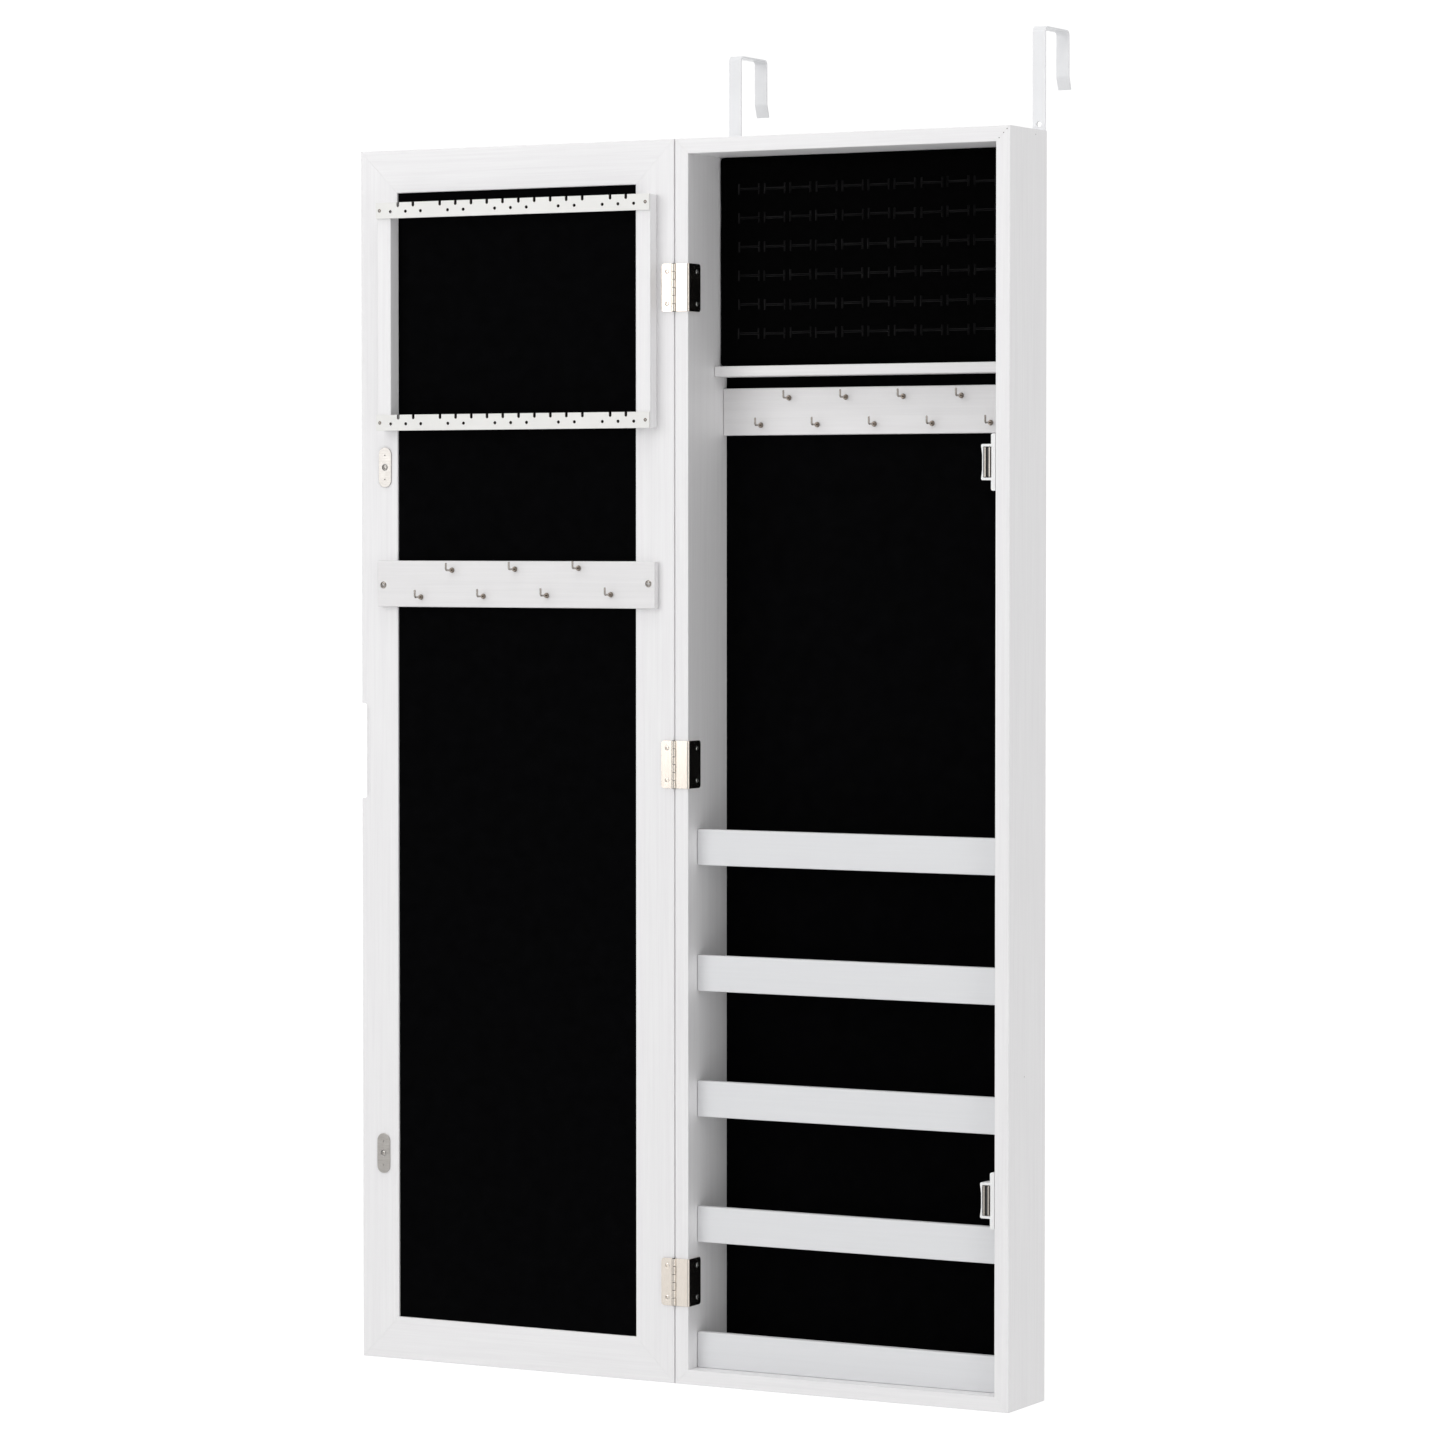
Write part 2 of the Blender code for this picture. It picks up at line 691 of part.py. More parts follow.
def door_frame(door):
    """Stiles and rails with a lip in front of the mirror, and the finger pull in the free stile."""
    inner = FRONT
    outer = FRONT + DOOR_THICKNESS
    lip = outer - DOOR_LIP
    outline = [
        (0.0, inner),
        (DOOR_MEMBER, inner),
        (DOOR_MEMBER, lip),
        (DOOR_MEMBER + DOOR_LIP_WIDTH, lip),
        (DOOR_MEMBER + DOOR_LIP_WIDTH, outer),
        (0.0, outer),
    ]
    names = ("door_left_stile", "door_top_rail", "door_right_stile", "door_bottom_rail")
    free_stile, _, hinge_stile, _ = mitred_frame(names, outline, DOOR_X, WHITE_FOIL, door)
    edge = DOOR_X - WIDTH / 2
    low, high = (level(height) for height in PULL_HEIGHTS)
    pull_outline = rounded(
        [
            (edge - OVERCUT, low, 0.0),
            (edge + PULL_INSET, low, PULL_DEPTH),
            (edge + PULL_INSET, high, PULL_DEPTH),
            (edge - OVERCUT, high, 0.0),
        ]
    )
    pull_shape = prism_shape(pull_outline, inner - OVERCUT, inner + PULL_DEPTH, "Y")
    shape_with(free_stile, add_cutter("finger_pull", to_mesh("finger_pull", pull_shape)))
    return hinge_stile


def door_panels(door):
    """The mirror against the lip, and the felt-covered backing panel behind it."""
    half_across = WIDTH / 2 - DOOR_MEMBER - FIT
    half_up = HEIGHT / 2 - DOOR_MEMBER - FIT
    mirror_back = FRONT + DOOR_THICKNESS - DOOR_LIP - FIT
    mirror_front = mirror_back - MIRROR_THICKNESS
    for name, front, back, finish in (
        ("door_mirror", mirror_front, mirror_back, MIRROR_GLASS),
        ("door_backing", FRONT + FELT_RECESS, mirror_front - FIT, BLACK_FELT),
    ):
        low = (DOOR_X - half_across, front, -half_up)
        high = (DOOR_X + half_across, back, half_up)
        block(name, low, high, finish, door)


def ear_places():
    """Offsets of the holes and of the notches from an earring bar's middle.

    Holes lie on the middle pitch, apart from the second ones out, and in three at each end.
    Notches lie halfway between the pitches, five a side in the middle and two a side at the ends.
    """
    holes = [0.0]
    notches = []
    for side in (-1, 1):
        holes += [side * EAR_PITCH * step for step in (1, 3, 4)]
        holes += [side * (EAR_END_START + EAR_END_PITCH * step) for step in range(3)]
        notches += [side * EAR_PITCH * (step + 0.5) for step in range(5)]
        notches += [side * (EAR_END_START + EAR_END_PITCH * (step + 0.5)) for step in range(2)]
    return holes, notches


def earring_bar(name, bottom, door):
    """A thin bar with notches in its upper edge and a row of holes."""
    back = FRONT - POST_DEPTH - 2 * FIT
    front = back - BAR_THICKNESS
    top = bottom + BAR_TALL
    half = HOLDER_WIDTH / 2
    bar = block(
        name, (FITTINGS_X - half, front, level(bottom)), (FITTINGS_X + half, back, level(top)), WHITE_FOIL, door
    )
    holes, notches = ear_places()
    middle = (front + back) / 2
    hole_level = level(top - EAR_HOLE_DROP)
    shape = rod_shape(
        [(FITTINGS_X + x, middle, hole_level) for x in holes], EAR_HOLE_RADIUS, 4 * BAR_THICKNESS, "Y", 8
    )
    notch_size = Matrix.Diagonal((NOTCH_WIDTH, 4 * BAR_THICKNESS, 2 * NOTCH_DEEP, 1.0))
    for x in notches:
        spot = Matrix.Translation((FITTINGS_X + x, middle, level(top)))
        bmesh.ops.create_cube(shape, size=1.0, matrix=spot @ notch_size)
    shape_with(bar, add_cutter(f"{name}_openings", to_mesh(f"{name}_openings", shape)))


def earring_holder(door):
    """Two posts on the stiles, and a bar across their upper and lower ends."""
    low, high = HOLDER_HEIGHTS
    reach = (HOLDER_WIDTH - POST_WIDTH) / 2
    for side, name in ((-1, "left"), (1, "right")):
        x = FITTINGS_X + side * reach
        block(
            f"earring_post_{name}",
            (x - POST_WIDTH / 2, FRONT - FIT - POST_DEPTH, level(low)),
            (x + POST_WIDTH / 2, FRONT - FIT, level(high)),
            WHITE_FOIL,
            door,
        )
    earring_bar("earring_bar_upper", high - BAR_TALL, door)
    earring_bar("earring_bar_lower", low, door)


def door_hook_board(door):
    """The board that carries the door's hooks."""
    half = DOOR_BOARD_WIDTH / 2
    front = FRONT - FIT - DOOR_BOARD_THICKNESS
    middle = FITTINGS_X + DOOR_BOARD_SHIFT
    low = (middle - half, front, level(DOOR_BOARD_HEIGHT))
    high = (middle + half, FRONT - FIT, level(DOOR_BOARD_HEIGHT + HOOK_BOARD_TALL))
    block("door_hook_board", low, high, WHITE_FOIL, door)
    return front


def main():
    """Build the casing, then the door under an empty on the hinge axis."""
    casing_side = casing_boards()
    necklace_front = upper_fittings()
    trays()

    door = bpy.data.objects.new("door_axis", None)
    PARTS.objects.link(door)
    door.location = (AXIS_X, AXIS_Y, 0.0)
    door_side = door_frame(door)
    door_panels(door)
    earring_holder(door)
    board_front = door_hook_board(door)

    hook = hook_mesh()
    necklace_middle = NECKLACE_BOARD_HEIGHT + HOOK_BOARD_TALL / 2
    staggered_hooks(
        "necklace_hook", hook, 5, NECKLACE_HOOK_SHIFT, necklace_front, necklace_middle, NECKLACE_HOOK_PITCH
    )
    door_middle = DOOR_BOARD_HEIGHT + HOOK_BOARD_TALL / 2
    staggered_hooks(
        "door_hook", hook, 4, FITTINGS_X, board_front, door_middle, DOOR_HOOK_PITCH, DOOR_HOOK_CLIMB, door
    )

    hinges(casing_side, door_side, door)
    catches(door)
    for side in STRAP_TOPS:
        over_door_hook(side)


main()
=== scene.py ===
"""Looks of an over-door jewelry armoire: a white box lined with black felt, its mirrored door open.

Metres, +Z up, +X to the right and -Y towards the front, as in the frame. The pieces are built at
rest, with the door turned out flat beside the casing, and each rides on its body in the frame.
"""

import json
import logging
import math
from dataclasses import dataclass
from enum import Enum
from functools import cache
from typing import Callable, Iterable, Sequence

import bmesh
import bpy
from mathutils import Matrix, Vector


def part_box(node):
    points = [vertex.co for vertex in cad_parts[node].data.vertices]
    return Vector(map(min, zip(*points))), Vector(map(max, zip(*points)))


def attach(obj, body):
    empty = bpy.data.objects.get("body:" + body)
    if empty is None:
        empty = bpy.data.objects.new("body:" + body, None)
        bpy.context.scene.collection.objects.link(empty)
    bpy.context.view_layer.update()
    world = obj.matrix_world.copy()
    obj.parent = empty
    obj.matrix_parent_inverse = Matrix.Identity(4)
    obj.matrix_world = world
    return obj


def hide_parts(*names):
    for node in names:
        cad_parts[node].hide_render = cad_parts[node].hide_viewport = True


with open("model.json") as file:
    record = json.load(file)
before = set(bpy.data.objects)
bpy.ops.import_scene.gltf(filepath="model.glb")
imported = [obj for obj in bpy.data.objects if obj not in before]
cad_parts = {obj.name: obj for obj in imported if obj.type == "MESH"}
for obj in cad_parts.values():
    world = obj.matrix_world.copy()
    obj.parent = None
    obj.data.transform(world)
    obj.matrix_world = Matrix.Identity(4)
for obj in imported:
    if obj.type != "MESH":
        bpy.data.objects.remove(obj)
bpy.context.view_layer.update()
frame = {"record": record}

LOG = logging.getLogger("armoire")

Corner = tuple[float, float, float]  # two coordinates and the radius that rounds them
Spot = tuple[Vector, Vector]  # a place on a surface and the way out of it
Colour = tuple[float, float, float]

FIT = 0.0003  # gap that the frame keeps between pieces that touch
HAIRLINE = 0.00006  # gap left in a glued joint
OVERCUT = 0.001  # how far a cutter runs past what it cuts
MERGE = 0.00001
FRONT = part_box("casing_left_side")[0].y  # plane of the casing's front edges
CASE_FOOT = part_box("casing_bottom")[0].z
UP = Vector((0, 0, 1)).freeze()
FORWARD = Vector((0, -1, 0)).freeze()
AXIS = Vector(frame["record"]["behaviour"]["joints"][0]["pos_m"])  # the door's hinge line


class Body(Enum):
    """The frame's moving bodies."""

    CASING = "casing"
    DOOR = "door"
    UPPER_MAGNET = "upper_magnet"
    LOWER_MAGNET = "lower_magnet"


class Slot(Enum):
    """The record's material slots."""

    FOIL = "white_foil"
    FELT = "felt_board"
    FOAM = "ring_foam"
    GLASS = "mirror_glass"
    NICKEL = "satin_nickel"
    WIRE = "hook_nickel"
    PLASTIC = "white_plastic"
    MAGNET = "magnet_steel"
    ENAMEL = "white_enamel"


class Run(Enum):
    """Which way streaks run, as how quickly they change along X, Y and Z, per metre."""

    ACROSS = (7.0, 330.0, 330.0)
    UPRIGHT = (330.0, 330.0, 7.0)
    SATIN = (900.0, 900.0, 110.0)
    FLAT = (110.0, 900.0, 900.0)


@dataclass(frozen=True)
class Box:
    """An upright box between its lowest and highest corners."""

    low: Vector
    high: Vector

    @classmethod
    def of(cls, node: str) -> "Box":
        """The box of a CAD node at rest."""
        return cls(*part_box(node))

    @property
    def middle(self) -> Vector:
        """The box's centre."""
        return (self.low + self.high) / 2

    @property
    def size(self) -> Vector:
        """The box's sides."""
        return self.high - self.low


# ---- meshes


def outline(corners: Sequence[Corner], steps: int = 4) -> list[Vector]:
    """Points of a closed outline whose corners are rounded.

    Args:
        corners: Each corner's two coordinates and its radius, which may be zero.
        steps: Straight pieces in each rounded corner.

    Returns:
        The outline's points, in the corners' order.
    """
    points = []
    for index, (a, b, radius) in enumerate(corners):
        if radius == 0:
            points.append(Vector((a, b)))
            continue
        spot = Vector((a, b))
        before = Vector(corners[index - 1][:2])
        after = Vector(corners[(index + 1) % len(corners)][:2])
        points += fillet(before, spot, after, radius, steps)
    return points


def fillet(before: Vector, spot: Vector, after: Vector, radius: float, steps: int) -> list[Vector]:
    """Points of the arc that rounds the corner at a spot between two others.

    Args:
        before: The point ahead of the corner.
        spot: The corner.
        after: The point behind the corner.
        radius: The arc's radius.
        steps: Straight pieces in the arc.

    Returns:
        The arc's points, from the side of before to the side of after.
    """
    incoming = (before - spot).normalized()
    outgoing = (after - spot).normalized()
    half_angle = incoming.angle(outgoing) / 2
    centre = spot + (incoming + outgoing).normalized() * radius / math.sin(half_angle)
    start = spot + incoming * radius / math.tan(half_angle) - centre
    finish = spot + outgoing * radius / math.tan(half_angle) - centre
    sweep = start.angle_signed(finish)
    return [centre + Matrix.Rotation(-sweep * step / steps, 2) @ start for step in range(steps + 1)]


def prism(points: Iterable[Sequence[float]], start: float, end: float, axis: str) -> bmesh.types.BMesh:
    """A flat outline drawn out along an axis.

    Args:
        points: The outline's two coordinates, in the order of the axes that are left.
        start: Where the prism starts along the axis.
        end: Where it ends.
        axis: X, Y or Z.

    Returns:
        A closed shape.
    """
    along = "XYZ".index(axis)
    shape = bmesh.new()
    verts = []
    for a, b in points:
        spot = [a, b]
        spot.insert(along, start)
        verts.append(shape.verts.new(spot))
    face = shape.faces.new(verts)
    drawn = bmesh.ops.extrude_face_region(shape, geom=[face])["geom"]
    step = Vector((0, 0, 0))
    step[along] = end - start
    moved = [item for item in drawn if isinstance(item, bmesh.types.BMVert)]
    bmesh.ops.translate(shape, vec=step, verts=moved)
    return shape


def cuboid(box: Box, shape: bmesh.types.BMesh | None = None) -> bmesh.types.BMesh:
    """A plain box, added to a shape if one is given.

    Args:
        box: Where the box lies.
        shape: The shape to add it to.

    Returns:
        The shape with the box in it.
    """
    shape = shape or bmesh.new()
    matrix = Matrix.Translation(box.middle) @ Matrix.Diagonal((*box.size, 1.0))
    bmesh.ops.create_cube(shape, size=1.0, matrix=matrix)
    return shape


def rods(
    spots: Iterable[Vector],
    radius: float,
    length: float,
    way: Vector,
    sides: int = 32,
    far_radius: float | None = None,
) -> bmesh.types.BMesh:
    """Round rods or cones of one size, centred on their spots.

    Args:
        spots: The rods' centres.
        radius: The radius at the end that the way points from.
        length: The rods' length.
        way: The direction that they lie along.
        sides: Flat sides round a rod.
        far_radius: The radius at the other end, if it differs.

    Returns:
        A shape with one closed shell for each rod.
    """
    shape = bmesh.new()
    turn = UP.rotation_difference(way).to_matrix().to_4x4()
    for spot in spots:
        bmesh.ops.create_cone(
            shape,
            cap_ends=True,
            segments=sides,
            radius1=radius,
            radius2=radius if far_radius is None else far_radius,
            depth=length,
            matrix=Matrix.Translation(spot) @ turn,
        )
    return shape


def turned(profile: Sequence[tuple[float, float]], sides: int = 24) -> bmesh.types.BMesh:
    """A profile of (radius, height) points turned about Z, closed at both ends on the axis.

    Args:
        profile: The profile's points, from one end to the other.
        sides: Flat sides round the shape.

    Returns:
        A closed shape.
    """
    shape = bmesh.new()
    verts = [shape.verts.new((radius, 0.0, height)) for radius, height in profile]
    edges = [shape.edges.new(pair) for pair in zip(verts, verts[1:])]
    bmesh.ops.spin(
        shape,
        geom=verts + edges,
        cent=(0, 0, 0),
        axis=(0, 0, 1),
        angle=math.tau,
        steps=sides,
        use_duplicate=False,
    )
    bmesh.ops.remove_doubles(shape, verts=shape.verts, dist=MERGE)
    return shape


def as_object(name: str, shape: bmesh.types.BMesh) -> bpy.types.Object:
    """An object in the scene from a shape, which is freed.

    Args:
        name: The object's name.
        shape: The shape, whose faces are turned outwards.

    Returns:
        The object.
    """
    bmesh.ops.recalc_face_normals(shape, faces=shape.faces)
    mesh = bpy.data.meshes.new(name)
    shape.to_mesh(mesh)
    shape.free()
    thing = bpy.data.objects.new(name, mesh)
    bpy.context.scene.collection.objects.link(thing)
    return thing


def bake_modifiers(thing: bpy.types.Object) -> None:
    """Swap an object's mesh for the one that its modifiers leave, and remove them."""
    bpy.context.view_layer.update()
    graph = bpy.context.evaluated_depsgraph_get()
    mesh = bpy.data.meshes.new_from_object(thing.evaluated_get(graph))
    mesh.name = thing.name
    thing.modifiers.clear()
    thing.data = mesh


def combine(
    thing: bpy.types.Object, tool: bpy.types.Object, operation: str = "DIFFERENCE", materials: str = "INDEX"
) -> None:
    """Boolean an object with another, which is removed.

    Args:
        thing: The object that changes.
        tool: The other object.
        operation: DIFFERENCE, UNION or INTERSECT.
        materials: TRANSFER gives the cut faces the other object's materials.
    """
    modifier = thing.modifiers.new("combine", "BOOLEAN")
    modifier.material_mode = materials
    modifier.operation = operation
    modifier.solver = "EXACT"
    modifier.object = tool
    bake_modifiers(thing)
    bpy.data.objects.remove(tool, do_unlink=True)


def soften(
    thing: bpy.types.Object, radius: float, segments: int = 3, angle: float = 30.0, bevel: bool = True
) -> None:
    """Round a hard piece's edges, shade it smooth and keep its flat faces flat.

    Args:
        thing: The piece.
        radius: The width that each edge loses.
        segments: Strips in each rounded edge.
        angle: Edges sharper than this many degrees are rounded.
        bevel: False for a piece whose outline is rounded already.
    """
    if bevel:
        rounding = thing.modifiers.new("rounding", "BEVEL")
        rounding.width = radius
        rounding.segments = segments
        rounding.limit_method = "ANGLE"
        rounding.angle_limit = math.radians(angle)
        rounding.miter_outer = "MITER_ARC"
    thing.data.shade_smooth()
    bake_modifiers(thing)
    thing.data.set_sharp_from_angle(angle=math.radians(50.0))
    flats = thing.modifiers.new("flats", "WEIGHTED_NORMAL")
    flats.keep_sharp = True
    flats.weight = 90
    bake_modifiers(thing)


def deliver(
    thing: bpy.types.Object,
    body: Body,
    finishes: Sequence[bpy.types.Material],
    stands_for: Sequence[str] = (),
) -> bpy.types.Object:
    """Dress a finished piece and hand it to the frame.

    Args:
        thing: The piece, at the origin with its place in its mesh.
        body: What it rides on.
        finishes: Its materials, by face index. A mesh that has its own keeps them.
        stands_for: The CAD nodes that it replaces.

    Returns:
        The piece.
    """
    if not thing.data.materials:
        for finish in finishes:
            thing.data.materials.append(finish)
    if stands_for:
        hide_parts(*stands_for)
    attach(thing, body.value)
    LOG.info("%s: %d faces, on %s", thing.name, len(thing.data.polygons), body.value)
    return thing


def paint_faces(
    thing: bpy.types.Object, index: int, chosen: Callable[[bpy.types.MeshPolygon], bool]
) -> None:
    """Give the faces that pass a test another of the piece's materials.

    Args:
        thing: The piece.
        index: The material's index.
        chosen: The test, which takes a face.
    """
    for face in thing.data.polygons:
        if chosen(face):
            face.material_index = index


# ---- finishes


class Wiring:
    """Adds nodes to a tree and links them."""

    def __init__(self, tree: bpy.types.NodeTree) -> None:
        """Keep the tree."""
        self.tree = tree

    def node(self, kind: str, **settings: object) -> bpy.types.Node:
        """A new node with some of its properties set.

        Args:
            kind: The node's type.
            settings: Its properties.

        Returns:
            The node.
        """
        node = self.tree.nodes.new(kind)
        for name, value in settings.items():
            setattr(node, name, value)
        return node

    def set(self, node: bpy.types.Node, **values: object) -> bpy.types.Node:
        """Set or link a node's inputs, named with underscores for spaces.

        Args:
            node: The node.
            values: Numbers, colours, or sockets to link from.

        Returns:
            The node.
        """
        for name, value in values.items():
            wanted = name.replace("_", " ")
            socket = next(item for item in node.inputs if item.name == wanted and item.enabled)
            if isinstance(value, bpy.types.NodeSocket):
                self.tree.links.new(value, socket)
            else:
                socket.default_value = value
        return node

    def math(self, operation: str, first: object, second: object) -> bpy.types.NodeSocket:
        """The result of a Math node.

        Args:
            operation: The node's operation.
            first: A socket or a number.
            second: A socket or a number.

        Returns:
            The node's output.
        """
        node = self.node("ShaderNodeMath", operation=operation)
        for socket, value in zip(node.inputs, (first, second)):
            if isinstance(value, bpy.types.NodeSocket):
                self.tree.links.new(value, socket)
            else:
                socket.default_value = value
        return node.outputs[0]

    def between(self, mask: bpy.types.NodeSocket, low: Colour, high: Colour) -> bpy.types.NodeSocket:
        """A colour that a mask moves from low to high.

        Args:
            mask: A value from 0 to 1.
            low: The colour where the mask is 0.
            high: The colour where it is 1.

        Returns:
            The mixed colour.
        """
        node = self.node("ShaderNodeMix", data_type="RGBA")
        self.set(node, Factor=mask, A=(*low, 1.0), B=(*high, 1.0))
        return next(item for item in node.outputs if item.enabled)

    def ranged(self, value: bpy.types.NodeSocket, low: float, high: float) -> bpy.types.NodeSocket:
        """A 0 to 1 value moved to between low and high.

        Args:
            value: The value.
            low: What 0 becomes.
            high: What 1 becomes.

        Returns:
            The moved value.
        """
        node = self.node("ShaderNodeMapRange")
        self.set(node, Value=value, To_Min=low, To_Max=high)
        return node.outputs["Result"]


def new_group(name: str, inputs: dict[str, str], outputs: dict[str, str]) -> tuple[Wiring, object, object]:
    """A shader node group with named inputs and outputs.

    Args:
        name: The group's name.
        inputs: Socket types by input name.
        outputs: Socket types by output name.

    Returns:
        The group's wiring, its input sockets and its output sockets.
    """
    tree = bpy.data.node_groups.new(name, "ShaderNodeTree")
    for in_out, sockets in (("INPUT", inputs), ("OUTPUT", outputs)):
        for label, kind in sockets.items():
            tree.interface.new_socket(name=label, in_out=in_out, socket_type=kind)
    wiring = Wiring(tree)
    entry = wiring.node("NodeGroupInput")
    leave = wiring.node("NodeGroupOutput")
    return wiring, entry.outputs, leave.inputs


@cache
def streaks_group() -> bpy.types.NodeTree:
    """Long streaks over finer ones: the foil's printed grain and the metals' brushing.

    Returns:
        A group with Vector and Stretch inputs, and Tone and Height outputs from 0 to 1.
    """
    value = "NodeSocketFloat"
    vector = "NodeSocketVector"
    wiring, entry, leave = new_group(
        "streaks", {"Vector": vector, "Stretch": vector}, {"Tone": value, "Height": value}
    )
    scaled = wiring.node("ShaderNodeVectorMath", operation="MULTIPLY")
    wiring.tree.links.new(entry["Vector"], scaled.inputs[0])
    wiring.tree.links.new(entry["Stretch"], scaled.inputs[1])
    broad = wiring.node("ShaderNodeTexNoise")
    wiring.set(broad, Vector=scaled.outputs[0], Scale=1.0, Detail=2.0, Roughness=0.6, Distortion=0.25)
    fine = wiring.node("ShaderNodeTexNoise")
    wiring.set(fine, Vector=scaled.outputs[0], Scale=2.7, Detail=3.0, Roughness=0.65)
    broad_part = wiring.math("MULTIPLY", broad.outputs[0], 0.62)
    fine_part = wiring.math("MULTIPLY", fine.outputs[0], 0.38)
    both = wiring.math("ADD", broad_part, fine_part)
    spread = wiring.node("ShaderNodeMapRange")
    wiring.set(spread, Value=both, From_Min=0.34, From_Max=0.66)
    wiring.tree.links.new(spread.outputs["Result"], leave["Tone"])
    wiring.tree.links.new(fine.outputs[0], leave["Height"])
    return wiring.tree


@cache
def fibres_group() -> bpy.types.NodeTree:
    """Short tangled fibres: felt and flock.

    Returns:
        A group with Vector and Scale inputs, and Tone and Height outputs from 0 to 1.
    """
    value = "NodeSocketFloat"
    wiring, entry, leave = new_group(
        "fibres", {"Vector": "NodeSocketVector", "Scale": value}, {"Tone": value, "Height": value}
    )
    tangle = wiring.node("ShaderNodeTexNoise")
    wiring.set(
        tangle, Vector=entry["Vector"], Scale=entry["Scale"], Detail=5.0, Roughness=0.7, Distortion=1.6
    )
    clumps = wiring.node("ShaderNodeTexNoise")
    clump_scale = wiring.math("MULTIPLY", entry["Scale"], 0.045)
    wiring.set(clumps, Vector=entry["Vector"], Scale=clump_scale, Detail=3.0, Roughness=0.6)
    tangle_part = wiring.math("MULTIPLY", tangle.outputs[0], 0.6)
    clump_part = wiring.math("MULTIPLY", clumps.outputs[0], 0.4)
    both = wiring.math("ADD", tangle_part, clump_part)
    spread = wiring.node("ShaderNodeMapRange")
    wiring.set(spread, Value=both, From_Min=0.32, From_Max=0.68)
    wiring.tree.links.new(spread.outputs["Result"], leave["Tone"])
    wiring.tree.links.new(tangle.outputs[0], leave["Height"])
    return wiring.tree


@cache
def grit_group() -> bpy.types.NodeTree:
    """Even fine bumps: orange peel, spark-eroded mould faces and the backs of boards.

    Returns:
        A group with Vector and Scale inputs, and Tone and Height outputs from 0 to 1.
    """
    value = "NodeSocketFloat"
    wiring, entry, leave = new_group(
        "grit", {"Vector": "NodeSocketVector", "Scale": value}, {"Tone": value, "Height": value}
    )
    cells = wiring.node("ShaderNodeTexVoronoi", feature="SMOOTH_F1")
    wiring.set(cells, Vector=entry["Vector"], Scale=entry["Scale"], Smoothness=1.0)
    drift = wiring.node("ShaderNodeTexNoise")
    wiring.set(drift, Vector=entry["Vector"], Scale=entry["Scale"], Detail=2.0)
    wiring.tree.links.new(drift.outputs[0], leave["Tone"])
    wiring.tree.links.new(cells.outputs["Distance"], leave["Height"])
    return wiring.tree


@cache
def patches_group() -> bpy.types.NodeTree:
    """Broad soft patches, where hands and cloths have changed the gloss a little.

    Returns:
        A group with Vector and Scale inputs and a Mask output from 0 to 1.
    """
    value = "NodeSocketFloat"
    wiring, entry, leave = new_group(
        "patches", {"Vector": "NodeSocketVector", "Scale": value}, {"Mask": value}
    )
    cloud = wiring.node("ShaderNodeTexNoise")
    wiring.set(
        cloud, Vector=entry["Vector"], Scale=entry["Scale"], Detail=3.0, Roughness=0.5, Distortion=0.6
    )
    spread = wiring.node("ShaderNodeMapRange")
    wiring.set(spread, Value=cloud.outputs[0], From_Min=0.35, From_Max=0.65)
    wiring.tree.links.new(spread.outputs["Result"], leave["Mask"])
    return wiring.tree


class Palette:
    """A material under construction: its wiring, object coordinates and Principled shader."""

    def __init__(self, name: str) -> None:
        """Start a node material of that name."""
        self.material = bpy.data.materials.new(name)
        self.material.use_nodes = True
        self.wiring = Wiring(self.material.node_tree)
        self.shader = self.material.node_tree.nodes["Principled BSDF"]
        self.place = self.wiring.node("ShaderNodeTexCoord").outputs["Object"]

    def effect(self, tree: bpy.types.NodeTree, **values: object) -> object:
        """Place a shared effect on the object coordinates.

        Args:
            tree: The effect's group.
            values: Its other inputs.

        Returns:
            The effect's output sockets.
        """
        node = self.wiring.node("ShaderNodeGroup", node_tree=tree)
        self.wiring.set(node, Vector=self.place, **values)
        return node.outputs

    def dress(self, **values: object) -> None:
        """Set or link the shader's inputs, named with underscores for spaces."""
        self.wiring.set(self.shader, **values)

    def bump(self, height: bpy.types.NodeSocket, strength: float, distance: float) -> None:
        """Let a height move the shader's normal.

        Args:
            height: A value from 0 to 1.
            strength: How much of the effect shows.
            distance: How far the height reaches, in metres.
        """
        node = self.wiring.node("ShaderNodeBump")
        self.wiring.set(node, Height=height, Strength=strength, Distance=distance)
        self.dress(Normal=node.outputs[0])


@dataclass(frozen=True)
class Foil:
    """White foil with a printed and embossed wood grain."""

    name: str
    run: Run
    light: Colour = (0.865, 0.86, 0.865)
    streak: Colour = (0.815, 0.805, 0.815)
    relief: float = 0.25

    def build(self) -> bpy.types.Material:
        """Make the material."""
        palette = Palette(self.name)
        grain = palette.effect(streaks_group(), Stretch=self.run.value)
        patches = palette.effect(patches_group(), Scale=9.0)
        gloss = palette.wiring.math("ADD", grain["Height"], patches["Mask"])
        palette.dress(
            Base_Color=palette.wiring.between(grain["Tone"], self.streak, self.light),
            Roughness=palette.wiring.ranged(gloss, 0.36, 0.44),
        )
        palette.bump(grain["Height"], self.relief, 0.0002)
        return palette.material


@dataclass(frozen=True)
class Felt:
    """Matte black pile: felt glued to board, or flock on foam."""

    name: str
    scale: float
    deep: Colour
    pale: Colour
    pile: float
    sheen: float

    def build(self) -> bpy.types.Material:
        """Make the material."""
        palette = Palette(self.name)
        fibres = palette.effect(fibres_group(), Scale=self.scale)
        palette.dress(
            Base_Color=palette.wiring.between(fibres["Tone"], self.deep, self.pale),
            Roughness=palette.wiring.ranged(fibres["Tone"], 0.85, 1.0),
            Specular_IOR_Level=0.015,
            Sheen_Weight=self.sheen,
            Sheen_Roughness=0.45,
        )
        palette.bump(fibres["Height"], 0.8, self.pile)
        return palette.material


